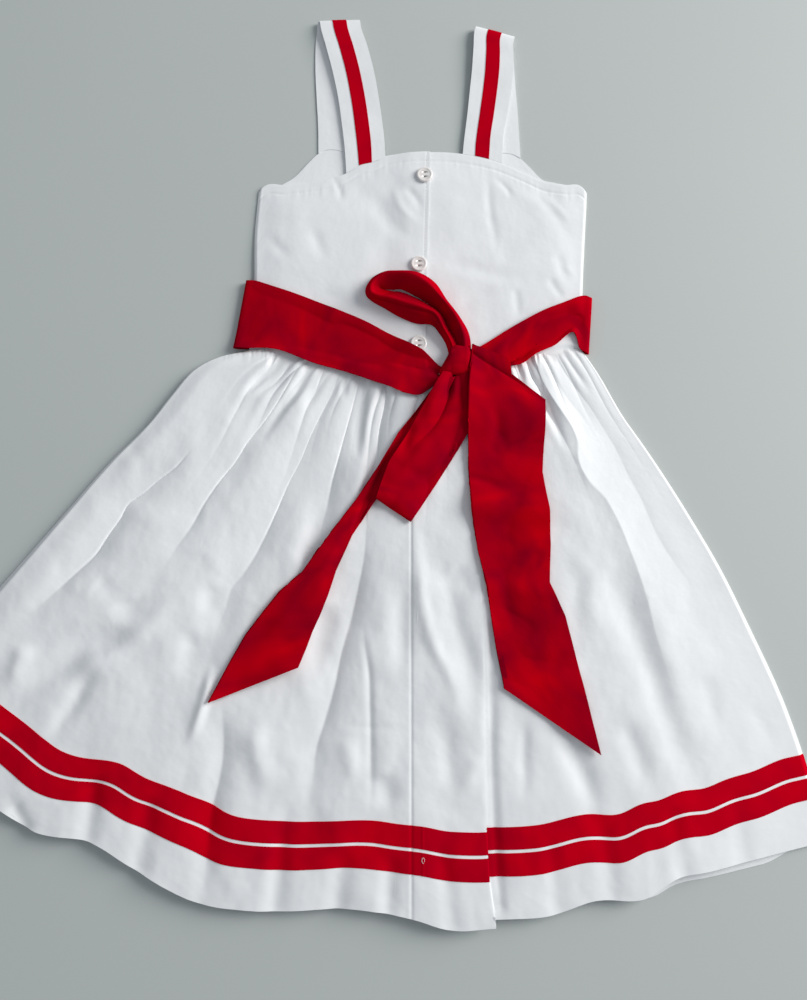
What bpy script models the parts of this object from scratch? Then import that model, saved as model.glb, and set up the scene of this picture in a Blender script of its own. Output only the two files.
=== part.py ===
import math

import bmesh
import bpy
import numpy as np
from mathutils.geometry import tessellate_polygon

# Named sizes. Plan sizes are in millimetres from the middle of the waist seam,
# x to the right, y towards the straps, z up from the table.
MM = 0.001
WALL = 1.0
SEAM = 0.3
SIDE_COLUMNS = 84
PLACKET_LAP = 22.0
HEM_BAND = 29.5
RIBBON_WIDTH = 16.2
RIBBON_GAP = 2.4
SKIRT_LENGTH = 450.0
STRAP_WIDTH = 34.5
STRAP_RIBBON = 13.0
BUTTON_RADIUS = 6.9
BUTTON_HEIGHT = 2.6
BUTTON_HOLE = 1.0
GATHER_COUNT = 21
GATHER_HEIGHT = 1.9
GATHER_LENGTH = 62.0
PUFF = 3.6
UNDER_HEM_SHIFT = 6.5

WHITE_COTTON = ("white_cotton", (0.86, 0.88, 0.89), 0.8)
RED_RIBBON = ("red_ribbon", (0.62, 0.005, 0.02), 0.55)
RED_SASH = ("red_sash", (0.5, 0.004, 0.02), 0.62)
PEARL_BUTTON = ("pearl_button", (0.85, 0.83, 0.8), 0.3)


def table(names, *rows):
    data = np.array(rows, float)
    return {name: data[:, index] for index, name in enumerate(names.split())}


# Waist seam, left to right
WAIST = table(
    "x y",
    (-150, -1), (-135, -2), (-118, -4.2), (-95, -9), (-50, -14), (0, -16),
    (50, -15.4), (75, -14), (95, -11), (118, -5), (132, -2.2), (145.5, -1),
)
# Left side of the skirt, waist to hem, with the shoulder of the outer gather first
SKIRT_LEFT = table(
    "x y",
    (-150, -1), (-178, -6), (-197, -17), (-214.5, -38), (-232, -62),
    (-267, -100), (-301, -142), (-351, -204), (-397, -260), (-438, -308),
)
# Right side of the skirt, waist to hem
SKIRT_RIGHT = table(
    "x y",
    (145.5, -1), (157, -16), (181, -60), (196, -83), (236, -151),
    (256.5, -190), (276, -234.5), (306, -311), (321, -370), (325, -410),
)
# Hem from the left side to the pleat, a row for each wave
HEM_LEFT = table(
    "x y",
    (-438, -308), (-389, -348), (-338, -383), (-306, -401), (-262, -409), (-223, -431),
    (-171, -455), (-130, -460), (-39, -460), (-1, -467), (24, -474), (60, -472.5),
)
# Hem from the pleat to the right side
HEM_RIGHT = table(
    "x y",
    (61.3, -466.5), (104, -463.5), (138, -453), (179, -451), (205, -436.5),
    (234, -430.6), (276, -421), (325, -410),
)
# Top edge of the near bodice panel
BODICE_TOP = table(
    "x y",
    (-144, 153), (-141, 156.5), (-120, 159.6), (-88, 163.7), (-64, 171), (-53, 178.2),
    (-37.6, 182.8), (-28.8, 187.7), (-17.8, 189.6), (7, 191.8), (42.4, 190), (73, 182.8),
    (95, 173.2), (115, 163.7), (135, 159.6), (152, 156.5), (155.4, 152),
)
# Sides of the bodice and the edge of its placket, from the waist up
BODICE_SIDES = table(
    "y left_x placket_x right_x",
    (-16, -149, 7.2, 146), (6, -148, 7.5, 146), (64, -145.3, 9, 148.5),
    (115, -146.3, 10.3, 152.6), (153, -144, 11.5, 155.4), (192, -143, 12.3, 155.4),
)
# Top edge of the far bodice panel, over the armholes
UNDER_TOP = table(
    "x y",
    (-143, 152), (-121.7, 161.4), (-112, 167.8), (-100.2, 181.1), (-92, 190), (-55, 190.4),
    (-30, 184), (0, 180), (35, 183), (60, 188), (96, 186.4), (105.5, 176.2),
    (114, 166.5), (127.1, 162.4), (154, 152),
)
# Strap rows from the near bodice to the top of the loop
LEFT_STRAP_NEAR = table(
    "left_x left_y right_x right_y",
    (-64.2, 175.5, -28.5, 190.5), (-66, 196, -29.5, 204), (-68.3, 216, -31, 218), (-72.6, 246.6, -35, 247),
    (-78.1, 273.4, -39.6, 273.4), (-84.2, 297, -45.9, 299), (-90, 320, -52.3, 321),
)
RIGHT_STRAP_NEAR = table(
    "left_x left_y right_x right_y",
    (42.5, 192, 78.5, 183), (43.8, 203, 79.8, 205.7), (47.2, 230, 84, 230), (50, 256, 88.2, 254),
    (51.9, 273.5, 90.2, 271), (53.6, 296, 90.9, 288), (55.2, 315, 91.2, 304),
)
# Strap rows from the far bodice to the top of the loop
LEFT_STRAP_FAR = table(
    "left_x left_y right_x right_y",
    (-90.2, 192, -56, 192.5), (-90.7, 214, -56.5, 214), (-92.7, 246.6, -58.3, 246.6),
    (-94.5, 280, -60, 280), (-94.5, 304, -58, 306), (-93.5, 320, -55, 322),
)
RIGHT_STRAP_FAR = table(
    "left_x left_y right_x right_y",
    (61.5, 191.5, 95.6, 188), (60.2, 214, 94.7, 214), (59, 241, 93.6, 241),
    (57.6, 258, 92.6, 258), (55.5, 288, 91.6, 284), (55.6, 314, 91.3, 304),
)
# Soft folds of the skirt: a path of three points, height, width and share left at each end
SKIRT_FOLDS = table(
    "x1 y1 x2 y2 x3 y3 height width start end",
    (-127, -4, -138, -22, -150, -41, -3.2, 2.8, 1, 0),
    (-110, -6, -118, -17, -127, -30, -2.8, 2.6, 1, 0),
    (-93, -10, -105, -36, -139, -71, -3.4, 3.4, 1, 0.5),
    (-139, -71, -168, -116, -217, -190, -2.8, 6.5, 0.7, 0),
    (-83, -12, -90, -36, -97, -56, -2.8, 2.5, 1, 0),
    (-67, -13, -79, -47, -105, -102, -3.6, 3.2, 1, 0.9),
    (-105, -102, -127, -151, -175, -268, -3.4, 5.5, 0.9, 0.3),
    (-50, -14, -58, -62, -64, -86, -3.4, 3.0, 1, 0.8),
    (-64, -86, -77, -133, -88, -176, -3.0, 5.0, 0.8, 0),
    (-40, -15, -47, -50, -50, -84, -2.8, 2.5, 1, 0),
    (-24, -16, -29, -60, -37, -100, -2.8, 2.8, 1, 0),
    (-194, -87, -232, -122, -298, -206, -4.4, 6.0, 0, 0),
    (-240, -118, -272, -168, -330, -258, 1.8, 15, 0, 0),
    (-372, -268, -348, -250, -318, -246, -2.2, 12, 0.3, 0),
    (-366, -318, -336, -294, -300, -277, -1.8, 12, 0.4, 0),
    (-240, -180, -262, -250, -290, -330, 2.4, 24, 0, 0.2),
    (-45, -178, -60, -241, -84, -392, 3.0, 8, 0, 0.2),
    (-60, -170, -96, -250, -120, -340, -2.0, 15, 0, 0),
    (-49, -222, -42, -260, -38, -300, -1.4, 9, 0, 0),
    (-176, -296, -160, -345, -168, -458, -3.2, 11, 0, 0.8),
    (-262, -300, -268, -350, -262, -412, -1.8, 15, 0, 0.8),
    (-100, -370, -88, -410, -84, -461, -1.4, 18, 0, 1),
    (-7, -60, -5, -260, -7, -467, 0.9, 5, 0.6, 0.8),
    (20, -110, 28, -170, 36, -260, -2.0, 13, 0.4, 0),
    (44, -190, 45, -320, 46, -471, 2.2, 9, 0.2, 1),
    (92, -12, 97, -26, 102, -46, -2.8, 2.4, 1, 0),
    (106, -10, 121, -50, 138, -78, -3.4, 3.2, 1, 0.9),
    (137, -76, 137, -98, 149, -148, -3.4, 4.2, 0.9, 0),
    (146, -112, 166, -136, 175, -160, -2.4, 5.0, 0, 0),
    (108, -40, 122, -78, 132, -102, -2.4, 2.8, 0.4, 0),
    (122, -5, 148, -48, 176, -99, -2.6, 4.4, 1, 0.8),
    (176, -99, 198, -148, 231, -212, -2.2, 7.0, 0.8, 0),
    (133, -4, 170, -72, 194, -118, -2.4, 4.0, 1, 0.8),
    (194, -118, 219, -162, 258, -245, -2.4, 7.5, 0.8, 0),
    (152, -172, 180, -236, 226, -368, -4.2, 12, 0, 0.3),
    (124, -180, 132, -270, 150, -350, 2.0, 12, 0, 0),
    (139, -340, 150, -390, 166, -452, -1.8, 11, 0, 0.8),
    (196, -386, 204, -410, 212, -434, -2.4, 9, 0.2, 1),
    (88, -160, 92, -250, 100, -330, -1.6, 12, 0, 0),
)
# Creases of the near bodice panel, in the same columns
BODICE_FOLDS = table(
    "x1 y1 x2 y2 x3 y3 height width start end",
    (-28, 164, -14, 140, -4, 112, 0.9, 7, 0, 0),
    (-34, 128, -18, 118, -2, 112, -0.7, 5, 0, 0.4),
    (66, 178, 68, 146, 70, 108, -0.8, 6, 0.4, 0),
    (14, 82, 56, 78, 104, 70, -0.9, 6, 0.3, 0),
    (96, 152, 118, 132, 148, 106, -0.9, 6, 0, 0),
    (112, 64, 130, 52, 148, 40, -0.9, 6, 0, 0.5),
    (-138, 110, -126, 98, -112, 92, -0.7, 6, 0.2, 0),
    (-92, 108, -86, 94, -80, 78, -0.7, 6, 0, 0),
    (-120, 156, -104, 120, -96, 76, 0.8, 14, 0, 0),
    (124, 150, 116, 110, 112, 74, 0.8, 13, 0, 0),
    (34, 170, 36, 120, 32, 70, 0.7, 13, 0, 0),
)
# Front of the sash on the left, from the side to the knot
SASH_FRONT_LEFT = table(
    "top_x top_y low_x low_y crease",
    (-145, 65.8, -150, 2.2, 0.2), (-129, 60.4, -138, 2.4, 0.5), (-113, 54.7, -125, 1.4, 0.9),
    (-82, 42.2, -93, -10.4, 1.2), (-47.4, 27.7, -63, -19, 1.2), (-20, 12.6, -38, -28.5, 1.1),
    (-6, 5.6, -24, -32.5, 1.0), (5, -0.5, -10, -37.6, 0.8), (14, -8.4, 2, -37.4, 0.6), (20, -14, 15, -27.5, 0.4),
)
# Front of the sash on the right, from the side to the knot, with its lower edge turned up
SASH_FRONT_RIGHT = table(
    "top_x top_y low_x low_y crease",
    (150, 51.6, 143.4, 2.4, 0.0), (143, 50, 140.6, 12, 0.6), (135, 46.5, 137.5, 19, 1.0),
    (111.4, 36.8, 119, 8.8, 1.1), (96, 28.4, 104, 0.6, 1.1), (80, 19.1, 88, -10.5, 0.9),
    (60, 6.4, 68, -12.5, 0.6), (48.4, 0.5, 49.5, -14.5, 0.2),
)
# Upper loop of the bow, round from the right of the knot: foot and rim of the band
UPPER_LOOP = table(
    "foot_x foot_y rim_x rim_y rise",
    (46, 9.5, 38, 10.5, 5), (44.5, 22, 33, 20, 9), (35.5, 36, 27, 34, 12), (24, 51.5, 15, 46, 14),
    (12, 67, 2, 57, 15), (-2, 74, -10, 63.5, 14), (-17, 75.5, -22, 66.5, 13), (-30, 74.5, -30.5, 66, 12),
    (-40, 68.5, -36, 62.5, 11), (-44.5, 61, -39, 58, 10), (-45, 54.5, -38.5, 52.5, 10),
    (-40, 48, -33, 47.5, 11), (-30, 42, -24, 47, 12), (-15.5, 33, -10, 45.5, 13), (-1, 27.8, 5, 42.5, 13),
    (11, 26.6, 15.5, 35, 12), (18.5, 21, 23.5, 23, 9), (25, 12.5, 31, 13.5, 6), (28.5, 8.5, 34, 9.5, 4.5),
)
# Lower loop of the bow, from the knot to its folded end
LOWER_LOOP = table(
    "left_x left_y right_x right_y lift",
    (22, -21.9, 46.5, -21.9, 0.0), (15.5, -33, 48.5, -36, 0.8), (4, -54, 50, -56, 1.4),
    (-9, -77, 44, -74, 1.7), (-24, -101, 29, -99, 1.4), (-31, -120, 15, -121, 0.9),
    (-34.7, -131.5, -5, -151, 0.4),
)
# Left tail, with the strip that is turned under it
LEFT_TAIL = table(
    "left_x left_y right_x right_y under",
    (18.6, -27.5, 33, -25.5, 11), (11.4, -38, 27, -38, 12), (-2.1, -56.2, 14, -60, 16), (-16.4, -74.4, 0, -82, 17),
    (-34.1, -104.5, -19, -111, 15), (-52.2, -132.5, -38, -137, 13), (-74.7, -162.5, -55, -163, 14),
    (-97, -194.2, -68, -193, 14), (-114.5, -210, -74, -213, 9), (-127.6, -226.7, -80.5, -230, 6),
    (-142, -246, -86.5, -243, 4), (-154, -268, -91.5, -257, 4), (-170, -300, -97.5, -272, 4),
)
# Right tail, with the strip that is turned under it
RIGHT_TAIL = table(
    "left_x left_y right_x right_y under",
    (49.4, 5.6, 80.6, -8.2, 4), (48.6, -10, 81.8, -22.5, 4), (47.2, -32, 110.8, -45, 4),
    (46, -64, 109.2, -73.8, 4), (45.4, -105, 106, -109, 4), (46.4, -141.7, 110.8, -141.7, 4),
    (50, -176, 111.2, -171, 4), (57, -205.5, 109.4, -203, 4), (60, -230, 121.5, -230, 4),
    (64, -258, 131, -270, 4), (70.3, -289, 147.3, -341.4, 4),
)
# Knot from left to right: its lower, upper and middle lines in plan, and its height
KNOT = table(
    "x low high thick",
    (21, -20.0, -12.8, 4.0), (24, -20.6, -7.2, 6.2), (28.5, -20.9, 3.0, 8.2), (34, -21.0, 5.8, 9.4),
    (40, -21.0, 6.6, 9.4), (45, -20.6, 6.6, 8.2), (47.6, -19.6, 5.4, 5.2),
)
# Rows of the skirt from the waist to the ribbons, as shares of the length
SKIRT_ROWS = (0.0, 0.025, 0.055, 0.1, 0.155, 0.22, 0.3, 0.39, 0.48, 0.575, 0.67, 0.76)
# Buttons down the placket
BUTTONS = table("x y", (7.3, 168.3), (2.5, 83.1), (-0.9, 8.3))


def smooth(value):
    value = np.clip(value, 0.0, 1.0)
    return value * value * (3.0 - 2.0 * value)


def along(curve, share):
    # Point at a share of a curve's length
    points = np.stack([curve["x"], curve["y"]], 1)
    steps = np.linalg.norm(np.diff(points, axis=0), axis=1)
    length = np.concatenate([[0.0], np.cumsum(steps)])
    length /= length[-1]
    return np.stack([np.interp(share, length, points[:, k]) for k in (0, 1)], -1)


def by_x(curve, x):
    return np.interp(x, curve["x"], curve["y"])


def creases(x, y, folds):
    # Height added by soft folds, each along a path of three points
    total = np.zeros(np.shape(x))
    for k in range(len(folds["x1"])):
        ends = [np.array([folds["x" + n][k], folds["y" + n][k]]) for n in "123"]
        spans = [np.linalg.norm(ends[1] - ends[0]), np.linalg.norm(ends[2] - ends[1])]
        best = np.full(np.shape(x), 1e9)
        place = np.zeros(np.shape(x))
        for part in (0, 1):
            start, step = ends[part], ends[part + 1] - ends[part]
            share = ((x - start[0]) * step[0] + (y - start[1]) * step[1]) / spans[part] ** 2
            share = np.clip(share, 0.0, 1.0)
            far = np.hypot(x - start[0] - share * step[0], y - start[1] - share * step[1])
            nearer = far < best
            best = np.where(nearer, far, best)
            run = (part * spans[0] + share * spans[part]) / (spans[0] + spans[1])
            place = np.where(nearer, run, place)
        start, end = folds["start"][k], folds["end"][k]
        rise = start + (1.0 - start) * smooth(place / 0.3)
        fall = end + (1.0 - end) * smooth((1.0 - place) / 0.45)
        total += folds["height"][k] * rise * fall * np.exp(-((best / folds["width"][k]) ** 2))
    return total


def sash_lift(x, y):
    # Everything lies over the back of the sash, so it rises there
    top = np.interp(x, (-152.0, 156.0), (66.0, 50.0))
    low = np.interp(x, (-152.0, 156.0), (4.0, -2.0))
    inside = np.minimum(top - y, y - low)
    return (WALL + SEAM) * smooth((inside + 24.0) / 11.0)


def pleat_x(y):
    return np.interp(y, (-472.0, -438.0, -400.0, -300.0, -160.0), (60.6, 56.0, 54.5, 54.0, 52.0))


def skirt_rise(x, y, across):
    # Height of the near skirt panel's lower face over the far panel
    down = by_x(WAIST, x) - y
    side = smooth(across / 0.045) * smooth((1.0 - across) / 0.045)
    hang = smooth(down / 70.0) * (1.0 - 0.35 * smooth((down - 240.0) / 170.0))
    puff = side * (1.5 + PUFF * hang)
    number = across * GATHER_COUNT
    wave = number + 0.22 * np.sin(2.3 * number) + 0.12 * np.sin(5.1 * number + 1.0)
    fade = np.exp(-((np.maximum(down, 0.0) / (GATHER_LENGTH * (1.0 + 0.4 * np.sin(1.9 * number)))) ** 2))
    gather = GATHER_HEIGHT * np.cos(2.0 * np.pi * wave) * fade * side
    left_of_pleat = smooth((pleat_x(y) + 0.6 - x) / 1.4)
    lap = 1.5 * left_of_pleat * smooth((-y - 170.0) / 120.0) * smooth((x + 110.0) / 150.0)
    height = puff + gather + lap + creases(x, y, SKIRT_FOLDS) * side
    return np.maximum(height, 0.0)


def bodice_rise(x, y):
    # Height of the near bodice panel's lower face over the far panel
    left, right = np.interp(y, BODICE_SIDES["y"], BODICE_SIDES["left_x"]), None
    right = np.interp(y, BODICE_SIDES["y"], BODICE_SIDES["right_x"])
    side = smooth((x - left) / 26.0) * smooth((right - x) / 26.0)
    top = smooth((by_x(BODICE_TOP, x) - y) / 30.0)
    puff = side * (0.5 + 1.3 * top)
    return np.maximum(puff + creases(x, y, BODICE_FOLDS) * side, 0.0)


def placket_lift(x, y):
    # The left half lies over the right half along the placket
    edge = np.interp(y, BODICE_SIDES["y"], BODICE_SIDES["placket_x"])
    return (WALL + SEAM) * smooth((x - edge + PLACKET_LAP + 14.0) / 11.0)


def dress_top(x, y, across=None):
    # Top of the white cloth at a point of the plan
    waist = by_x(WAIST, x)
    base = sash_lift(x, y) + 2.0 * WALL + SEAM
    if across is None:
        left = np.interp(y, SKIRT_LEFT["y"][::-1], SKIRT_LEFT["x"][::-1])
        right = np.interp(y, SKIRT_RIGHT["y"][::-1], SKIRT_RIGHT["x"][::-1])
        across = (x - left) / (right - left)
    skirt = base + skirt_rise(x, y, across)
    edge = np.interp(y, BODICE_SIDES["y"], BODICE_SIDES["placket_x"])
    bodice = base + bodice_rise(x, y) + placket_lift(x, y) * (x < edge + 1.0)
    return np.where(y < waist, skirt, bodice)


# Points on top of the pieces laid on the dress so far
LAID = []


def note_laid(grid):
    rows, columns = grid.shape[:2]
    r = np.linspace(0, rows - 1, rows * 3 - 2)
    c = np.linspace(0, columns - 1, columns * 3 - 2)
    r0, c0 = np.minimum(r.astype(int), rows - 2), np.minimum(c.astype(int), columns - 2)
    fr, fc = (r - r0)[:, None, None], (c - c0)[None, :, None]
    a, b = grid[r0][:, c0], grid[r0][:, c0 + 1]
    d, e = grid[r0 + 1][:, c0], grid[r0 + 1][:, c0 + 1]
    fine = (a * (1 - fc) + b * fc) * (1 - fr) + (d * (1 - fc) + e * fc) * fr
    LAID.append(fine.reshape(-1, 3))


def rest_height(x, y, reach, over_laid=True, near=4.0, slope=0.3):
    # Highest cloth within reach, which a piece laid on it must clear
    best = dress_top(x, y)
    for ring in (0.5, 1.0):
        for turn in np.linspace(0.0, 2.0 * np.pi, 9)[:-1]:
            beside = dress_top(x + ring * reach * np.cos(turn), y + ring * reach * np.sin(turn))
            best = np.maximum(best, beside)
    if over_laid:
        for points in LAID:
            far = np.hypot(x[..., None] - points[:, 0], y[..., None] - points[:, 1])
            drape = points[:, 2] - slope * np.maximum(far - near, 0.0)
            best = np.maximum(best, drape.max(-1))
    return best


def material(kind):
    name, colour, roughness = kind
    found = bpy.data.materials.get(name)
    if found:
        return found
    made = bpy.data.materials.new(name)
    made.use_nodes = True
    shader = made.node_tree.nodes["Principled BSDF"]
    shader.inputs["Base Color"].default_value = (*colour, 1.0)
    shader.inputs["Roughness"].default_value = roughness
    made.diffuse_color = (*colour, 1.0)
    return made


def solid(name, points, faces, kind, round_piece=False):
    mesh = bpy.data.meshes.new(name)
    mesh.from_pydata([tuple(float(c) * MM for c in p) for p in points], [], faces)
    body = bmesh.new()
    body.from_mesh(mesh)
    bmesh.ops.triangulate(body, faces=body.faces[:])
    bmesh.ops.recalc_face_normals(body, faces=body.faces[:])
    body.to_mesh(mesh)
    body.free()
    for face in mesh.polygons:
        face.use_smooth = round_piece
    mesh.materials.append(material(kind))
    made = bpy.data.objects.new(name, mesh)
    bpy.context.collection.objects.link(made)
    return made


def grid_solid(name, upper, lower, kind):
    # Closed wall between two grids of points with the same rows and columns
    rows, columns = upper.shape[:2]
    count = rows * columns
    points = np.concatenate([upper.reshape(-1, 3), lower.reshape(-1, 3)])
    faces = []
    for r in range(rows - 1):
        for c in range(columns - 1):
            a = r * columns + c
            faces.append((a, a + columns, a + columns + 1, a + 1))
            faces.append((a + count + 1, a + count + columns + 1, a + count + columns, a + count))
    border = [c for c in range(columns)]
    border += [r * columns + columns - 1 for r in range(1, rows)]
    border += [(rows - 1) * columns + c for c in range(columns - 2, -1, -1)]
    border += [r * columns for r in range(rows - 2, 0, -1)]
    for a, b in zip(border, border[1:] + border[:1]):
        faces.append((a, b, b + count, a + count))
    return solid(name, points, faces, kind)


def grid_normals(middle):
    down = np.gradient(middle, axis=0)
    across = np.gradient(middle, axis=1)
    normal = np.cross(down, across)
    return normal / np.linalg.norm(normal, axis=2, keepdims=True)


def strip_solid(name, middle, kind, wall=WALL):
    # Band of cloth around its middle surface
    half = grid_normals(middle) * wall / 2.0
    return grid_solid(name, middle + half, middle - half, kind)


def with_z(plan, z):
    return np.concatenate([plan, np.asarray(z)[..., None]], -1)


def skirt_plan(across, down, under=False):
    # Plan of a skirt panel between its four edges, each row a share of the way down
    hem_split = 0.652
    left_part = along(HEM_LEFT, np.clip(across / hem_split, 0.0, 1.0))
    right_part = along(HEM_RIGHT, np.clip((across - hem_split) / (1.0 - hem_split), 0.0, 1.0))
    hem = np.where((across <= hem_split)[..., None], left_part, right_part)
    if under:
        hem = along(HEM_LEFT, np.clip(across / hem_split, 0.0, 1.0))
        hem = np.where((across <= hem_split)[..., None], hem, right_part)
        inset = 2.0 - (UNDER_HEM_SHIFT + 2.0) * smooth((across - 0.78) / 0.05) * smooth((0.985 - across) / 0.05)
        hem = hem + np.stack([np.zeros_like(inset), inset * smooth(across / 0.03)], -1)
    waist, left, right = along(WAIST, across), along(SKIRT_LEFT, down), along(SKIRT_RIGHT, down)
    a, d = across[..., None], down[..., None]
    corners = [along(WAIST, 0.0), along(WAIST, 1.0), along(HEM_LEFT, 0.0), along(HEM_RIGHT, 1.0)]
    ruled = (1 - d) * waist + d * hem + (1 - a) * left + a * right
    twist = (1 - a) * (1 - d) * corners[0] + a * (1 - d) * corners[1]
    return ruled - twist - (1 - a) * d * corners[2] - a * d * corners[3]


def ribbon_rows():
    # Shares of the skirt's length at the edges of the two ribbons
    edges = [HEM_BAND, HEM_BAND + RIBBON_WIDTH]
    edges += [edges[1] + RIBBON_GAP, edges[1] + RIBBON_GAP + RIBBON_WIDTH]
    return [1.0 - edge / SKIRT_LENGTH for edge in edges]


def skirt_columns():
    even = np.linspace(0.0, 1.0, SIDE_COLUMNS + 1)
    even[np.argmin(abs(even - 0.652))] = 0.652
    return even


def near_skirt_grid(rows):
    across, down = np.meshgrid(skirt_columns(), np.array(rows))
    plan = skirt_plan(across, down)
    x, y = plan[..., 0], plan[..., 1]
    low = WALL + SEAM + sash_lift(x, y) + skirt_rise(x, y, across)
    return plan, low


def build_skirt():
    edges = ribbon_rows()
    plan, low = near_skirt_grid(sorted([*SKIRT_ROWS, *edges, 1.0]))
    grid_solid("skirt_upper", with_z(plan, low + WALL), with_z(plan, low), WHITE_COTTON)

    across, down = np.meshgrid(np.linspace(0.0, 1.0, 33), [*SKIRT_ROWS[:5:1], 0.25, 0.4, 0.6, 0.8, 1.0])
    plan = skirt_plan(across, down, under=True)
    low = sash_lift(plan[..., 0], plan[..., 1])
    grid_solid("skirt_under", with_z(plan, low + WALL), with_z(plan, low), WHITE_COTTON)

    for name, lower, upper in (("hem_ribbon_upper", edges[3], edges[2]), ("hem_ribbon_lower", edges[1], edges[0])):
        plan, low = near_skirt_grid((lower, upper))
        low = low + WALL + SEAM
        grid_solid(name, with_z(plan, low + WALL), with_z(plan, low), RED_RIBBON)


def bodice_plan(left_x, right_x, top, columns, rows):
    # Plan of a bodice panel: left and right edges are functions of height
    across, up = np.meshgrid(np.linspace(0.0, 1.0, columns), np.linspace(0.0, 1.0, rows))
    x = left_x(60.0) + across * (right_x(60.0) - left_x(60.0))
    y = x * 0.0
    for _ in range(6):
        bottom = by_x(WAIST, x) + 2.0 * SEAM
        y = bottom + up * (by_x(top, x) - bottom)
        x = left_x(y) + across * (right_x(y) - left_x(y))
    return np.stack([x, y], -1)


def side(name, shift=0.0):
    return lambda y: np.interp(y, BODICE_SIDES["y"], BODICE_SIDES[name]) + shift


def build_bodice():
    plan = bodice_plan(side("left_x", 0.8), side("right_x", -0.8), UNDER_TOP, 21, 14)
    low = sash_lift(plan[..., 0], plan[..., 1])
    grid_solid("bodice_under", with_z(plan, low + WALL), with_z(plan, low), WHITE_COTTON)

    plan = bodice_plan(side("placket_x", -PLACKET_LAP), side("right_x"), BODICE_TOP, 17, 13)
    x, y = plan[..., 0], plan[..., 1]
    low = WALL + SEAM + sash_lift(x, y) + bodice_rise(x, y)
    grid_solid("bodice_upper_right", with_z(plan, low + WALL), with_z(plan, low), WHITE_COTTON)

    plan = bodice_plan(side("left_x"), side("placket_x"), BODICE_TOP, 19, 13)
    x, y = plan[..., 0], plan[..., 1]
    low = WALL + SEAM + sash_lift(x, y) + bodice_rise(x, y) + placket_lift(x, y) + 0.12
    grid_solid("bodice_upper_left", with_z(plan, low + WALL), with_z(plan, low), WHITE_COTTON)


def strap_middle(near, far, columns):
    # Rows up the near half, over the fold at the top and down the far half
    shares = np.linspace(0.0, 1.0, columns)
    rows = []
    count = len(near["left_x"])
    fold_radius = 2.1
    for k in range(count):
        share = k / (count - 1)
        left = np.array([near["left_x"][k], near["left_y"][k]])
        right = np.array([near["right_x"][k], near["right_y"][k]])
        z = 1.5 * WALL + SEAM + 0.5 + 2.6 * smooth(share * 1.1)
        row = [left + (right - left) * s for s in shares]
        if k == 0:
            row = [(p[0], by_x(BODICE_TOP, p[0]) + 2.0 * SEAM) for p in row]
        rows.append([(*p, z) for p in row])
    top_near = np.array(rows[-1])
    z_near = top_near[0][2]
    z_far = 0.5 * WALL
    turn_rows = []
    left = np.array([far["left_x"][-1], far["left_y"][-1]])
    right = np.array([far["right_x"][-1], far["right_y"][-1]])
    bottom = np.array([(*(left + (right - left) * s), z_far) for s in shares])
    out = np.cross(bottom[-1] - bottom[0], (0.0, 0.0, 1.0))
    out = -out / np.linalg.norm(out)
    for angle in np.linspace(0.0, np.pi, 8)[1:-1]:
        share = (1.0 - math.cos(angle)) / 2.0
        flat = top_near * (1.0 - share) + bottom * share
        flat = flat + out * 5.4 * math.sin(angle)
        flat[:, 2] = (z_near + z_far) / 2.0 + (z_near - z_far) / 2.0 * math.cos(angle)
        turn_rows.append(flat.tolist())
    rows += turn_rows
    for k in range(len(far["left_x"]) - 1, -1, -1):
        left = np.array([far["left_x"][k], far["left_y"][k]])
        right = np.array([far["right_x"][k], far["right_y"][k]])
        row = [left + (right - left) * s for s in shares]
        if k == 0:
            row = [(p[0], by_x(UNDER_TOP, p[0]) + 2.0 * SEAM) for p in row]
        rows.append([(*p, z_far) for p in row])
    return np.array(rows)


def build_strap(name, near, far):
    middle = strap_middle(near, far, 7)
    strip_solid("strap_" + name, middle, WHITE_COTTON)
    normal = grid_normals(middle)
    outward = 1.0 if normal[1][2][2] > 0 else -1.0
    last = len(near["left_x"]) + 4
    wide = np.linalg.norm(middle[:, -1] - middle[:, 0], axis=1)
    rows = []
    for r in range(last):
        share = STRAP_RIBBON / wide[r]
        centre = 0.5 - 0.01
        row = []
        for s in (centre - share / 2.0, centre, centre + share / 2.0):
            place = s * 6.0
            c = min(int(place), 5)
            f = place - c
            point = middle[r][c] * (1 - f) + middle[r][c + 1] * f
            lift = normal[r][c] * (1 - f) + normal[r][c + 1] * f
            lift = lift / np.linalg.norm(lift)
            row.append(point + lift * outward * (WALL + SEAM))
        rows.append(row)
    strip_solid("strap_ribbon_" + name, np.array(rows), RED_RIBBON)


def band_row(top, low, z_top, z_low, crease, columns):
    # Row across the sash with a soft lengthwise crease
    shares = np.linspace(0.0, 1.0, columns)
    row = []
    for s in shares:
        z = z_top * (1 - s) + z_low * s + crease * math.sin(math.pi * s) ** 2 * math.cos(3.0 * math.pi * s)
        row.append((top[0] * (1 - s) + low[0] * s, top[1] * (1 - s) + low[1] * s, z))
    return row


def front_rows(front, columns, flip):
    rows = []
    order = range(len(front["top_x"]))
    for k in order:
        top = (front["top_x"][k], front["top_y"][k])
        low = (front["low_x"][k], front["low_y"][k])
        shares = np.linspace(0.0, 1.0, columns)
        x = top[0] * (1 - shares) + low[0] * shares
        y = top[1] * (1 - shares) + low[1] * shares
        ease = 1.0 if flip else -1.0
        wave = front["crease"][k] * np.cos(2.0 * np.pi * shares * ease + 0.4)
        z = rest_height(x, y, 9.0) + SEAM + 0.5 * WALL + 0.5 + front["crease"][k] + wave
        rows.append(np.stack([x, y, z], -1))
    return rows


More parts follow.
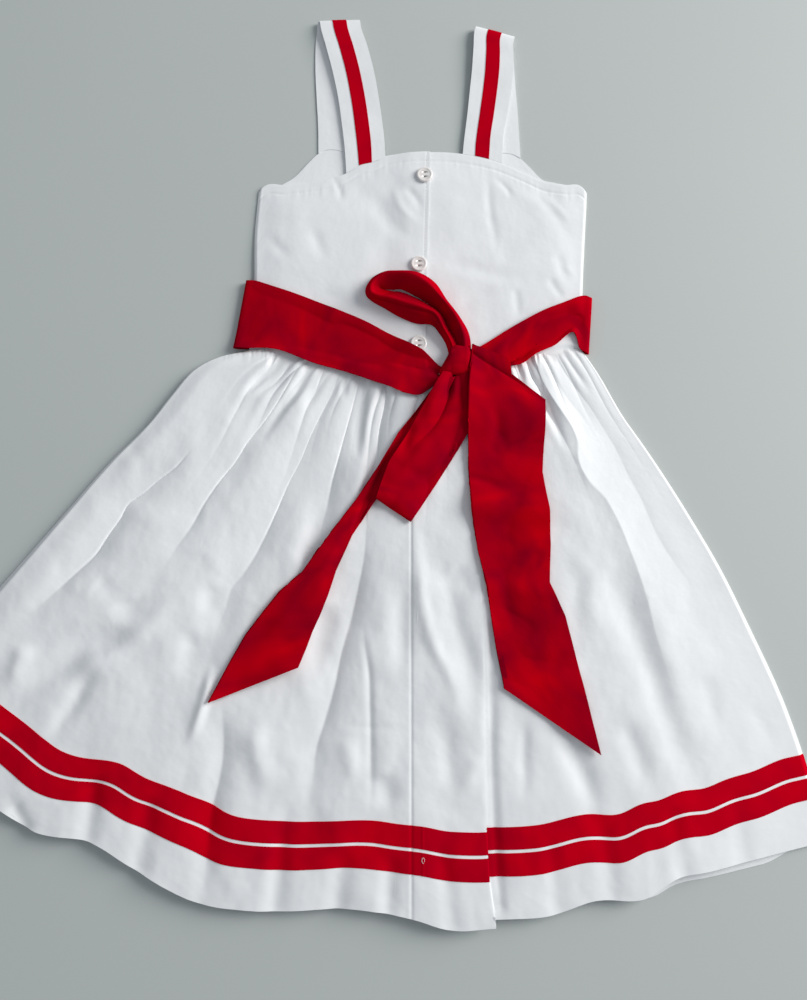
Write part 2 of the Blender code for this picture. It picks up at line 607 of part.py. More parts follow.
def build_sash_band():
    columns = 6
    left = front_rows(SASH_FRONT_LEFT, columns, True)[::-1]
    right = front_rows(SASH_FRONT_RIGHT, columns, False)
    shares = np.linspace(0.0, 1.0, columns)[:, None]
    left_fold = (np.array([-152.5, 66.4]), np.array([-162.0, 3.6]))
    right_fold = (np.array([156.0, 49.7]), np.array([151.2, -2.0]))
    left_back = (np.array([-147.0, 66.0]), np.array([-152.0, 3.8]))
    right_back = (np.array([149.0, 50.2]), np.array([148.0, -0.4]))
    rows = list(left)
    for fold, back, front in ((left_fold, left_back, left[-1]), (right_fold, right_back, right[0])):
        outer = fold[0] * (1 - shares) + fold[1] * shares
        inner = back[0] * (1 - shares) + back[1] * shares
        front_z = front[:, 2:3]
        back_z = np.full((columns, 1), 0.5 * WALL)
        turn = []
        for angle in np.linspace(0.0, np.pi, 6)[1:]:
            share = (1.0 - math.cos(angle)) / 2.0
            start = front[:, :2] * (1 - share) + inner * share
            flat = start + (outer - start) * math.sin(angle)
            z = (front_z + back_z) / 2.0 + (front_z - back_z) / 2.0 * math.cos(angle)
            turn.append(np.concatenate([flat, z], 1))
        if fold is left_fold:
            rows += turn
            for share in (0.25, 0.5, 0.75):
                flat = inner * (1 - share)
                far = right_back[0] * (1 - shares) + right_back[1] * shares
                rows.append(np.concatenate([flat + far * share, back_z], 1))
        else:
            rows += turn[::-1]
    rows += right
    strip_solid("sash_band", np.array(rows), RED_SASH)
    for front in (left, right):
        note_laid(np.array(front) + (0.0, 0.0, 0.5 * WALL))


def tail_rows(tail, columns):
    # Rows across a tail: the turned-under strip, its folded edge and the top layer
    rows = []
    for k in range(len(tail["left_x"])):
        left = np.array([tail["left_x"][k], tail["left_y"][k]])
        right = np.array([tail["right_x"][k], tail["right_y"][k]])
        across = right - left
        wide = np.linalg.norm(across)
        across = across / wide
        under = min(tail["under"][k], wide * 0.8)
        shares = np.linspace(0.0, 1.0, columns)
        flat = left + across * (1.6 + shares * (wide - 1.6))[:, None]
        base = rest_height(flat[:, 0], flat[:, 1], 8.0)
        base = np.maximum(base, base.mean()) + SEAM + 0.4
        low = base[0] + 0.5 * WALL
        row = []
        for s in (1.0, 0.5):
            place = left + across * (1.6 + under * s)
            height = np.interp(1.6 + under * s, 1.6 + shares * (wide - 1.6), base) + 0.5 * WALL
            row.append((*place, height))
        lap = WALL + SEAM + 0.3
        row.append((*(left + across * 1.6), low))
        for angle in (0.25, 0.5, 0.75):
            swing = math.sin(math.pi * angle)
            place = left + across * (1.6 - 1.1 * swing)
            row.append((*place, low + lap * (1.0 - math.cos(math.pi * angle)) / 2.0))
        for n in range(columns):
            row.append((*flat[n], base[n] + 0.5 * WALL + lap))
        rows.append(row)
    return np.array(rows)


def build_bow():
    columns = 6
    tail = tail_rows(LEFT_TAIL, columns)
    strip_solid("tail_left", tail, RED_SASH)
    note_laid(tail[:, -columns:] + (0.0, 0.0, 0.5 * WALL))

    # Lower loop: the top layer down to its folded end and the under layer back
    shares = np.linspace(0.0, 1.0, 6)
    layers = []
    for k in range(len(LOWER_LOOP["left_x"])):
        left = np.array([LOWER_LOOP["left_x"][k], LOWER_LOOP["left_y"][k]])
        right = np.array([LOWER_LOOP["right_x"][k], LOWER_LOOP["right_y"][k]])
        flat = left * (1 - shares[:, None]) + right * shares[:, None]
        base = rest_height(flat[:, 0], flat[:, 1], 9.0) + SEAM + 0.3 + 0.5 * WALL
        layers.append((flat, base, LOWER_LOOP["lift"][k]))
    rows = []
    lap = WALL + SEAM + 0.1
    for flat, base, lift in layers:
        arch = lift * np.sin(np.pi * shares) ** 2
        rows.append(with_z(flat, base + lap + lift + arch))
    note_laid(np.array(rows) + (0.0, 0.0, 0.5 * WALL))
    flat, base, lift = layers[-1]
    ahead = flat - layers[-2][0]
    ahead = ahead / np.linalg.norm(ahead, axis=1, keepdims=True)
    for angle in (0.2, 0.5, 0.8):
        z = base + (lap + lift) * (1.0 + math.cos(math.pi * angle)) / 2.0
        rows.append(with_z(flat + ahead * 1.2 * math.sin(math.pi * angle), z))
    rows += [with_z(flat, base) for flat, base, lift in layers[::-1]]
    strip_solid("bow_loop_lower", np.array(rows), RED_SASH)

    tail = tail_rows(RIGHT_TAIL, columns)
    strip_solid("tail_right", tail, RED_SASH)

    # Upper loop: a band on its foot that leans in to an open rim
    rows = []
    for k in range(len(UPPER_LOOP["foot_x"])):
        foot = np.array([UPPER_LOOP["foot_x"][k], UPPER_LOOP["foot_y"][k]])
        rim = np.array([UPPER_LOOP["rim_x"][k], UPPER_LOOP["rim_y"][k]])
        floor = rest_height(foot[0], foot[1], 6.0, near=1.5, slope=0.8) + SEAM + 0.6
        row = []
        for s in (0.0, 0.33, 0.67, 1.0):
            flat = foot * (1 - s) + rim * s
            row.append((*flat, floor + UPPER_LOOP["rise"][k] * math.sin(0.5 * math.pi * s) ** 0.9))
        rows.append(row)
    strip_solid("bow_loop_upper", np.array(rows), RED_SASH)


def build_knot():
    around = 16
    points, faces = [], []
    count = len(KNOT["x"])
    spans = np.meshgrid(KNOT["x"], np.linspace(-21.0, 6.0, 7))
    floor = rest_height(spans[0], spans[1], 2.0, over_laid=False).max() + SEAM
    for k in range(count):
        low, high = KNOT["low"][k], KNOT["high"][k]
        middle, half = (low + high) / 2.0, (high - low) / 2.0
        for n in range(around):
            turn = 2.0 * math.pi * n / around
            squash = 1.0 + 0.06 * math.cos(3.0 * turn + 0.5 * k)
            y = middle + half * math.copysign(abs(math.cos(turn)) ** 0.8, math.cos(turn))
            z = floor + KNOT["thick"][k] * (0.5 + 0.5 * math.sin(turn) * squash)
            points.append((KNOT["x"][k], y, z))
    for k in range(count - 1):
        for n in range(around):
            a, b = k * around + n, k * around + (n + 1) % around
            faces.append((a, b, b + around, a + around))
    faces.append(tuple(range(around)))
    faces.append(tuple((count - 1) * around + n for n in range(around)))
    solid("sash_knot", points, faces, RED_SASH, round_piece=True)


def circle(radius, count, x=0.0, y=0.0, turn=0.0):
    return [
        (x + radius * math.cos(2 * math.pi * n / count + turn), y + radius * math.sin(2 * math.pi * n / count + turn))
        for n in range(count)
    ]


def build_buttons():
    # Four-hole button: a dished middle, a round rim and holes right through
    around, hole_around = 20, 6
    profile = ((0.72, 0.0), (0.94, 0.35), (1.0, 1.1), (0.97, 2.0), (0.88, BUTTON_HEIGHT), (0.74, 2.45), (0.66, 1.7))
    for number in range(3):
        cx, cy = BUTTONS["x"][number], BUTTONS["y"][number]
        cloth = rest_height(np.array(cx), np.array(cy), BUTTON_RADIUS + 4.0)
        floor = float(cloth) + SEAM + 0.05
        disc = [(x + cx, y + cy, floor + BUTTON_HEIGHT) for x, y in circle(BUTTON_RADIUS, around)]
        points, faces = [], []
        for share, z in profile:
            points += [(x + cx, y + cy, floor + z) for x, y in circle(BUTTON_RADIUS * share, around)]
        for k in range(len(profile) - 1):
            for n in range(around):
                a, b = k * around + n, k * around + (n + 1) % around
                faces.append((a, b, b + around, a + around))
        holes = [(1.55, 1.55), (-1.55, 1.55), (-1.55, -1.55), (1.55, -1.55)]
        first = len(points)
        for z in (profile[0][1], profile[-1][1]):
            for hx, hy in holes:
                ring = circle(BUTTON_HOLE, hole_around, hx, hy)
                points += [(x + cx, y + cy, floor + z) for x, y in ring]
        for h in range(4):
            for n in range(hole_around):
                a = first + h * hole_around + n
                b = first + h * hole_around + (n + 1) % hole_around
                faces.append((a, b, b + 4 * hole_around, a + 4 * hole_around))
        for outer, start in ((0, first), ((len(profile) - 1) * around, first + 4 * hole_around)):
            loops = [list(range(outer, outer + around))]
            loops += [[start + h * hole_around + n for n in range(hole_around)] for h in range(4)]
            flat = [i for loop in loops for i in loop]
            for triangle in tessellate_polygon([[points[i] for i in loop] for loop in loops]):
                faces.append(tuple(flat[i] for i in triangle))
        solid("button_%d" % (number + 1), points, faces, PEARL_BUTTON, round_piece=True)
        LAID.append(np.array(disc))


def centre_on_origin():
    # The frame's origin is the middle of the bottom of the whole dress
    corners = [vertex.co for item in bpy.data.objects for vertex in item.data.vertices]
    low = np.min([tuple(c) for c in corners], axis=0)
    high = np.max([tuple(c) for c in corners], axis=0)
    shift = -(low + high) / 2.0
    shift[2] = -low[2]
    for item in bpy.data.objects:
        for vertex in item.data.vertices:
            vertex.co.x += shift[0]
            vertex.co.y += shift[1]
            vertex.co.z += shift[2]
    return shift


for old in list(bpy.data.objects):
    bpy.data.objects.remove(old, do_unlink=True)

build_bodice()
build_skirt()
build_strap("left", LEFT_STRAP_NEAR, LEFT_STRAP_FAR)
build_strap("right", RIGHT_STRAP_NEAR, RIGHT_STRAP_FAR)
build_buttons()
build_sash_band()
build_bow()
build_knot()
centre_on_origin()
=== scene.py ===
import math

import bpy
import numpy as np
from mathutils.geometry import tessellate_polygon
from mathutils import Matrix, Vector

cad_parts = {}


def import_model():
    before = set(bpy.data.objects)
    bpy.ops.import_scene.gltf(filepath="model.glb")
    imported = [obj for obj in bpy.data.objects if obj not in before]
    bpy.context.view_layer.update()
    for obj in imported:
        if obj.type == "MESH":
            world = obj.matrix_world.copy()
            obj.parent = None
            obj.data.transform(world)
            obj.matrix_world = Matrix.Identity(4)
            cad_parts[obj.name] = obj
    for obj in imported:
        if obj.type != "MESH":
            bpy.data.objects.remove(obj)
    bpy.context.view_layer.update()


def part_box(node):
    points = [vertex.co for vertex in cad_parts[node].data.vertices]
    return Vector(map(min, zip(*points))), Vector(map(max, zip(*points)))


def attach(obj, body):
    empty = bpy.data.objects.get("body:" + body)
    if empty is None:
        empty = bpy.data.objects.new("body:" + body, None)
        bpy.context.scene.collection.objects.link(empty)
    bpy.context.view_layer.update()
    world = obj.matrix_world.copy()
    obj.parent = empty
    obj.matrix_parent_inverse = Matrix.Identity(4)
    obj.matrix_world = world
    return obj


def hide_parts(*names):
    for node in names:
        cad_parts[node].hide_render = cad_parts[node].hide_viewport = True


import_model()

# Far bodice panel
# It lies right on the table with its inner face up, cut from white cotton poplin.
# Its armhole curves and straps show past the near panel, the rest is covered.
# All plan sizes are in millimetres from the middle of the waist seam.
MM = 0.001
ORIGIN_X, ORIGIN_Y = 56.5, 73.151
WALL = 1.0
SEAM = 0.3
CLOTH = 0.5
NEAR_FACE = 2.0 * WALL + SEAM


def table(names, *rows):
    data = np.array(rows, float)
    return {name: data[:, index] for index, name in enumerate(names.split())}


WAIST = table(
    "x y",
    (-150, 1), (-135, 2.2), (-118, 1.4), (-95, -4.2), (-50, -13.4), (0, -16),
    (50, -15), (75, -11), (95, -5.4), (118, 0.4), (132, 3.2), (145.5, 2.2),
)
BODICE_TOP = table(
    "x y",
    (-144, 153), (-141, 156.5), (-120, 159.6), (-88, 163.7), (-64, 171), (-53, 178.2),
    (-37.6, 182.8), (-28.8, 187.7), (-17.8, 189.6), (7, 191.8), (42.4, 190), (73, 182.8),
    (95, 173.2), (115, 163.7), (135, 159.6), (152, 156.5), (155.4, 152),
)
BODICE_SIDES = table(
    "y left_x placket_x right_x",
    (-16, -149, 7.2, 146), (6, -148, 7.5, 146), (64, -145.3, 9, 148.5),
    (115, -146.3, 10.3, 152.6), (153, -144, 11.5, 155.4), (192, -143, 12.3, 155.4),
)
UNDER_TOP = table(
    "x y",
    (-143, 152), (-121.7, 161.4), (-112, 167.8), (-100.2, 181.1), (-92, 190), (-55, 190.4),
    (-30, 184), (0, 180), (35, 183), (60, 188), (96, 186.4), (105.5, 176.2),
    (114, 166.5), (127.1, 162.4), (154, 152),
)


def smooth(value):
    value = np.clip(value, 0.0, 1.0)
    return value * value * (3.0 - 2.0 * value)


def bell(offset, width):
    return np.exp(-((offset / width) ** 2))


def running(steps):
    return np.concatenate([[0.0], np.cumsum(steps)])


def through(place, values, at):
    # Smooth curve through values given at rising places
    place, values = np.asarray(place, float), np.asarray(values, float)
    slope = np.gradient(values, place)
    k = np.clip(np.searchsorted(place, at, side="right") - 1, 0, len(place) - 2)
    gap = place[k + 1] - place[k]
    t = np.clip((at - place[k]) / gap, 0.0, 1.0)
    start = values[k] * (2 * t**3 - 3 * t**2 + 1) + slope[k] * gap * (t**3 - 2 * t**2 + t)
    return start + values[k + 1] * (3 * t**2 - 2 * t**3) + slope[k + 1] * gap * (t**3 - t**2)


def along(curve, share):
    length = running(np.hypot(np.diff(curve["x"]), np.diff(curve["y"])))
    share = np.asarray(share, float)
    return np.stack([through(length / length[-1], curve[k], share) for k in "xy"], -1)


def by_x(curve, x):
    return through(curve["x"], curve["y"], np.asarray(x, float))


def side(name, shift=0.0):
    return lambda y: through(BODICE_SIDES["y"], BODICE_SIDES[name], y) + shift


def scatter(column, row, seed):
    value = np.sin(column * 127.1 + row * 311.7 + seed * 74.7) * 43758.5453
    return value - np.floor(value)


def noise(x, y, seed):
    # Even, smooth hills and hollows from -1 to 1, one unit across
    column, row = np.floor(x), np.floor(y)
    s, t = smooth(x - column), smooth(y - row)
    near = scatter(column, row, seed) * (1 - s) + scatter(column + 1, row, seed) * s
    far = scatter(column, row + 1, seed) * (1 - s) + scatter(column + 1, row + 1, seed) * s
    return 2.0 * (near * (1 - t) + far * t) - 1.0


def nearest(x, y, path):
    # For each point: the share along the path, the distance to its left and the way across it
    best = np.full(x.shape, 1e9)
    run, off, normal_x, normal_y = (np.zeros(x.shape) for _ in range(4))
    for n in range(len(path) - 1):
        step = path[n + 1] - path[n]
        span = np.hypot(*step)
        share = ((x - path[n, 0]) * step[0] + (y - path[n, 1]) * step[1]) / span**2
        share = np.clip(share, 0.0, 1.0)
        off_x, off_y = x - path[n, 0] - share * step[0], y - path[n, 1] - share * step[1]
        far = np.hypot(off_x, off_y)
        nearer = far < best
        best = np.where(nearer, far, best)
        run = np.where(nearer, (n + share) / (len(path) - 1), run)
        off = np.where(nearer, far * np.sign(off_y * step[0] - off_x * step[1]), off)
        normal_x = np.where(nearer, -step[1] / span, normal_x)
        normal_y = np.where(nearer, step[0] / span, normal_y)
    return run, off, normal_x, normal_y


TUCKED_IN = 12.0


def soft_folds(x, y, folds):
    # Height of the folds, and how far each tucks back under its edge. A fold with a lean is a
    # crisp valley line, steep on one side and gentle on the other, and one without is a soft
    # trough. A negative depth makes a ridge. A slot opens a dark gap along the first part.
    lift, back_x, back_y = (np.zeros(np.shape(x)) for _ in range(3))
    for depth, width, lean, slot, start, end, *marks in folds:
        marks = np.array(marks, float)
        if start == 1:
            first = marks[0] - marks[1]
            marks = np.concatenate([[marks[0] + TUCKED_IN * first / np.hypot(*first)], marks])
        place = running(np.hypot(*np.diff(marks, axis=0).T))
        at = np.linspace(0.0, place[-1], 4 * len(marks))
        path = np.stack([through(place, marks[:, k], at) for k in (0, 1)], 1)
        reach = 2.6 * width * (1.0 + 0.7 * abs(lean)) + 3.0
        low, high = path.min(0) - reach, path.max(0) + reach
        inside = (x > low[0]) & (x < high[0]) & (y > low[1]) & (y < high[1])
        run, off, normal_x, normal_y = nearest(x[inside], y[inside], path)
        rise = start + (1.0 - start) * smooth(run / 0.3)
        strength = rise * (end + (1.0 - end) * smooth((1.0 - run) / 0.45))
        way = -1.0 if lean < 0 else 1.0
        off = off * way
        wide = width * (0.28 + 0.72 * smooth(run / 0.45)) if start == 1 and lean else width
        down_side = np.exp(np.minimum(off, 0.0) / (2.0 * wide)) * smooth((reach + off) / (1.6 * width))
        up_side = np.exp(-np.maximum(off, 0.0) / (0.85 * wide)) * smooth((reach - off) / width)
        crisp = abs(lean) * smooth((1.0 - run) / 0.35)
        shape = (1.0 - crisp) * bell(off, width) + crisp * down_side * up_side
        sharp = smooth(slot / 2.0) * smooth(1.6 * strength) * smooth((0.7 - run) / 0.35) * abs(lean)
        step = 1.2 * sharp * smooth((off + 0.6) / 1.2) * np.exp(-np.maximum(off, 0.0) / wide)
        gap = bell(off, 1.1) * slot * smooth((0.8 - run) / 0.4)
        lift[inside] -= (depth * shape + step + 0.6 * gap) * strength
        under = 2.0 * sharp * smooth((off + 1.1) / 1.6)
        under = under * np.exp(-np.maximum(off - 1.0, 0.0) / (1.3 * width + 4.0))
        back_x[inside] -= under * way * normal_x
        back_y[inside] -= under * way * normal_y
    return lift, back_x, back_y


def sash_lift(x, y, reach=24.0, ramp=11.0):
    # The panels ride over the back of the sash
    top = np.interp(x, (-152.0, 156.0), (66.0, 50.0))
    low = np.interp(x, (-152.0, 156.0), (4.0, -2.0))
    inside = np.minimum(top - y, y - low)
    return (WALL + SEAM) * smooth((inside + reach) / ramp)


def near_lift(x, y):
    return sash_lift(x, y, reach=60.0, ramp=52.0)


class Wire:
    # One socket of a material. Its arithmetic adds Math nodes.
    def __init__(self, tree, socket):
        self.tree = tree
        self.socket = socket

    def node(self, kind, inputs=(), out=0, **settings):
        made = self.tree.nodes.new(kind)
        for name, value in settings.items():
            setattr(made, name, value)
        for name, value in dict(inputs).items():
            if isinstance(value, Wire):
                self.tree.links.new(value.socket, made.inputs[name])
            else:
                made.inputs[name].default_value = value
        return Wire(self.tree, made.outputs[out])

    def math(self, operation, other=0.0):
        return self.node("ShaderNodeMath", {0: self, 1: other}, operation=operation)

    def __add__(self, other):
        return self.math("ADD", other)

    def __mul__(self, other):
        return self.math("MULTIPLY", other)

    def blend(self, first, second):
        inputs = {"Factor": self, 6: first, 7: second}
        return self.node("ShaderNodeMix", inputs, out=2, data_type="RGBA")

    def spread(self, low, high):
        inputs = {"Value": self, "From Min": low, "From Max": high}
        return self.node("ShaderNodeMapRange", inputs)

    def cloud(self, scale, detail, **more):
        inputs = {"Vector": self, "Scale": scale, "Detail": detail, **more}
        return self.node("ShaderNodeTexNoise", inputs)

    def bump(self, strength, distance, **more):
        inputs = {"Height": self, "Strength": strength, "Distance": distance, **more}
        return self.node("ShaderNodeBump", inputs)


def material(name):
    # A new material with its surface shader and its cloth coordinates in metres
    made = bpy.data.materials.new(name)
    made.use_nodes = True
    tree = made.node_tree
    shader = tree.nodes["Principled BSDF"]
    cloth = tree.nodes.new("ShaderNodeUVMap")
    cloth.uv_map = "cloth"
    return made, tree, shader, Wire(tree, cloth.outputs[0])


def feed(tree, shader, name, wire):
    tree.links.new(wire.socket, shader.inputs[name])


def cloth_material(name, light, dark, threads, rough, sheen, shine, crumple, ribbed=False):
    # Plain weave: threads over and under each other, uneven yarn and faint crumpling, with broad patches
    # blended from the dark colour to the light one
    made, tree, shader, cloth = material(name)
    across = cloth.node("ShaderNodeSeparateXYZ", {0: cloth})
    down = Wire(tree, across.socket.node.outputs[1])
    over = (across * (threads * math.pi)).math("SINE")
    under = (down * (threads * math.pi)).math("SINE")
    weave = under.math("ABSOLUTE") if ribbed else (over * under) * 0.5 + 0.5
    yarn = cloth.cloud(900.0, 2.0)
    hills = cloth.cloud(34.0, 3.0, Roughness=0.6)
    # Broad patches between the dark and the light colour. Where the dark one is far darker, as on the red
    # sash, they are painted shade at random places
    tone_and_shade_patches = cloth.cloud(20.0, 2.0, Distortion=0.6)
    tint = (tone_and_shade_patches.spread(0.3, 0.7) * 0.8 + yarn * 0.2).blend(dark, light)
    feed(tree, shader, "Base Color", tint)
    feed(tree, shader, "Roughness", hills * 0.12 + (rough - 0.06))
    fine = (weave * 0.7 + yarn * 0.3).bump(0.35, 0.00012)
    feed(tree, shader, "Normal", hills.bump(0.5, crumple, Normal=fine))
    shader.inputs["Sheen Weight"].default_value = sheen
    shader.inputs["Sheen Roughness"].default_value = 0.5
    shader.inputs["Sheen Tint"].default_value = light
    shader.inputs["Specular IOR Level"].default_value = shine
    return made


white_cotton = cloth_material(
    "white cotton poplin", (0.925, 0.934, 0.944, 1), (0.885, 0.9, 0.915, 1),
    threads=2200.0, rough=0.85, sheen=0.1, shine=0.12, crumple=0.0014,
)


def world(points):
    # From millimetres on the plan to metres in the frame
    return (np.asarray(points, float) + (ORIGIN_X, ORIGIN_Y, 0.0)) * MM


def make_mesh(name, points, faces, skin, uv=None, creased=()):
    name = name.replace(" ", "_")
    mesh = bpy.data.meshes.new(name)
    mesh.from_pydata(world(points).tolist(), [], faces)
    mesh.materials.append(skin)
    mesh.polygons.foreach_set("use_smooth", [True] * len(mesh.polygons))
    if uv is not None:
        layer = mesh.uv_layers.new(name="cloth")
        corner = np.zeros(len(mesh.loops), int)
        mesh.loops.foreach_get("vertex_index", corner)
        layer.data.foreach_set("uv", (np.asarray(uv)[corner] * MM).ravel())
    if len(creased):
        marked = {tuple(sorted(pair)) for pair in creased}
        for edge in mesh.edges:
            edge.use_edge_sharp = tuple(sorted(edge.vertices)) in marked
    made = bpy.data.objects.new(name, mesh)
    bpy.context.collection.objects.link(made)
    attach(made, "root")
    return made


def grid_normals(grid):
    normal = np.cross(np.gradient(grid, axis=0), np.gradient(grid, axis=1))
    return normal / np.maximum(np.linalg.norm(normal, axis=2, keepdims=True), 1e-9)


def grid_faces(rows, columns):
    r, c = np.meshgrid(np.arange(rows - 1), np.arange(columns - 1), indexing="ij")
    a = (r * columns + c).ravel()
    return np.stack([a, a + columns, a + columns + 1, a + 1], 1)


def grid_border(rows, columns):
    # Row and column of each point round the edge of a grid, in order
    border = [(0, c) for c in range(columns)] + [(r, columns - 1) for r in range(1, rows)]
    border += [(rows - 1, c) for c in range(columns - 2, -1, -1)]
    return border + [(r, 0) for r in range(rows - 2, 0, -1)]


def cloth_places(top):
    # Place of each point on the flat cloth, from the lengths along the grid
    u, v = (running(np.linalg.norm(np.diff(top, axis=k), axis=2).mean(1 - k)) for k in (1, 0))
    return np.stack(np.meshgrid(u, v), -1).reshape(-1, 2)


def shell(name, top, skin, thick=CLOTH, up=True):
    # Thin closed sheet of cloth under a grid of points of its outer face
    rows, columns = top.shape[:2]
    count = rows * columns
    normal = grid_normals(top)
    if up and normal[..., 2].mean() < 0:
        normal = -normal
    under = top - normal * thick
    points = np.concatenate([top.reshape(-1, 3), under.reshape(-1, 3)])
    ring = grid_faces(rows, columns)
    middle = ring[len(ring) // 2]
    sample = top.reshape(-1, 3)[middle]
    facing = np.cross(sample[1] - sample[0], sample[2] - sample[0])
    if facing @ normal.reshape(-1, 3)[middle[0]] < 0:
        ring = ring[:, ::-1]
    faces = ring.tolist() + (ring[:, ::-1] + count).tolist()
    border = [r * columns + c for r, c in grid_border(rows, columns)]
    ends = list(zip(border, border[1:] + border[:1]))
    turned = ring[0].tolist()
    forward = turned[(turned.index(0) + 1) % 4] == 1
    for p, q in ends:
        faces.append((q, p, p + count, q + count) if forward else (p, q, q + count, p + count))
    uv = cloth_places(top)
    creased = ends + [(p + count, q + count) for p, q in ends]
    return make_mesh(name, points, faces, skin, np.concatenate([uv, uv]), creased)


EDGE_TURNED = 2.4


def sheet(name, top, skin):
    # Open sheet of cloth whose edges turn down and back under it
    rows, columns = top.shape[:2]
    normal = grid_normals(top)
    if normal[..., 2].mean() < 0:
        normal = -normal
    border = grid_border(rows, columns)
    inner = [(min(max(r, 2), rows - 3), min(max(c, 2), columns - 3)) for r, c in border]
    edge = np.array([top[b] for b in border])
    inward = np.array([top[i] for i in inner]) - edge
    inward[:, 2] = 0.0
    inward = inward / np.maximum(np.linalg.norm(inward, axis=1, keepdims=True), 1e-6)
    down = np.array([normal[b] for b in border]) * CLOTH
    points = np.concatenate([top.reshape(-1, 3), edge - down, edge - down + inward * EDGE_TURNED])
    faces = grid_faces(rows, columns)
    sample = top.reshape(-1, 3)[faces[len(faces) // 2]]
    turn = np.cross(sample[1] - sample[0], sample[2] - sample[0])[2] < 0
    if turn:
        faces = faces[:, ::-1]
    faces = faces.tolist()
    numbers = [row * columns + column for row, column in border]
    count, size = rows * columns, len(border)
    for k in range(size):
        n = (k + 1) % size
        ring = [numbers[k], numbers[n], count + n, count + k]
        under = [count + k, count + n, count + size + n, count + size + k]
        faces += [ring, under] if turn else [ring[::-1], under[::-1]]
    uv = cloth_places(top)
    uv = np.concatenate([uv, uv[numbers], uv[numbers]])
    made = make_mesh(name, points, faces, skin, uv)
    made.data.set_sharp_from_angle(angle=math.radians(48.0))
    return made


def bodice_plan(left_x, right_x, top, columns, rows, sink=0.0):
    # Even grid of plan points between two sides, the waist and a top edge
    across, up = np.meshgrid(np.linspace(0.0, 1.0, columns), np.linspace(0.0, 1.0, rows))
    x = left_x(60.0) + across * (right_x(60.0) - left_x(60.0))
    y = x * 0.0
    for _ in range(6):
        bottom = by_x(WAIST, x) - sink
        y = bottom + up * (by_x(top, x) - bottom)
        x = left_x(y) + across * (right_x(y) - left_x(y))
    return x, y


x, y = bodice_plan(side("left_x", 0.6), side("right_x", -0.6), UNDER_TOP, 120, 80)
z = CLOTH + sash_lift(x, y) + 0.12 * noise(x / 16.0, y / 12.0, 3)
far_bodice = shell("far bodice panel", np.stack([x, y, z], -1), white_cotton)
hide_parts("bodice_under")

# Far skirt panel
# The back of the skirt lies flat on the table, gathered into the same waist seam.
# Its hem is turned up 30 mm and shows past the near hem at the lower right.
SKIRT_LEFT = table(
    "x y",
    (-150, 1), (-178, -6), (-197, -17), (-214.5, -38), (-232, -62),
    (-267, -100), (-301, -142), (-351, -204), (-397, -260), (-438, -308),
)
SKIRT_RIGHT = table(
    "x y",
    (145.5, 2.2), (157, -16), (181, -60), (196, -83), (236, -151),
    (256.5, -190), (276, -234.5), (306, -311), (321, -370), (325, -410),
)
HEM_LEFT = table(
    "x y",
    (-438, -308), (-389, -348), (-338, -383), (-306, -401), (-262, -409), (-223, -431),
    (-171, -455), (-130, -460), (-39, -460), (-1, -467), (24, -474), (60, -472.5),
)
HEM_RIGHT = table(
    "x y",
    (61.3, -466.5), (104, -463.5), (138, -453), (179, -451), (205, -436.5),
    (234, -430.6), (276, -421), (325, -410),
)
PLEAT = 0.652
UNDER_HEM_SHIFT = 6.5


def pleat_x(y):
    return np.interp(y, (-472.0, -438.0, -400.0, -300.0, -160.0), (60.6, 56.0, 54.5, 54.0, 52.0))


def even_plan(across, down, lower_hem=False):
    # Point of the skirt on the plan, from the share across it and the share down it
    left_part = along(HEM_LEFT, np.clip(across / PLEAT, 0.0, 1.0))
    right_part = along(HEM_RIGHT, np.clip((across - PLEAT) / (1.0 - PLEAT), 0.0, 1.0))
    hem = np.where((across <= PLEAT)[..., None], left_part, right_part)
    if lower_hem:
        lower_right = smooth((across - 0.78) / 0.05) * smooth((0.985 - across) / 0.05)
        inset = 2.0 - (UNDER_HEM_SHIFT + 2.0) * lower_right
        hem = hem + np.stack([np.zeros_like(inset), inset * smooth(across / 0.03)], -1)
    waist, left, right = along(WAIST, across), along(SKIRT_LEFT, down), along(SKIRT_RIGHT, down)
    a, d = across[..., None], down[..., None]
    corners = [along(WAIST, 0.0), along(WAIST, 1.0), along(HEM_LEFT, 0.0), along(HEM_RIGHT, 1.0)]
    ruled = (1 - d) * waist + d * hem + (1 - a) * left + a * right
    twist = (1 - a) * (1 - d) * corners[0] + a * (1 - d) * corners[1]
    plan = ruled - twist - (1 - a) * d * corners[2] - a * d * corners[3]
    return plan[..., 0], plan[..., 1]


def skirt_plan(across, down, lower_hem=False):
    # The lap pleat runs straighter down than the threads beside it
    x, y = even_plan(across, down, lower_hem)
    pleat, height = even_plan(np.full(down.shape, PLEAT), down)
    shift = (pleat_x(height) - pleat) * smooth((down - 0.15) / 0.25)
    return x + shift * smooth(1.0 - abs(across - PLEAT) / 0.2), y


across, down = np.meshgrid(np.linspace(0.001, 0.999, 130), np.linspace(0.0, 1.0, 60))
x, y = skirt_plan(across, down, lower_hem=True)
z = CLOTH + sash_lift(x, y)
far_skirt = shell("far skirt panel", np.stack([x, y, z], -1), white_cotton)
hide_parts("skirt_under")

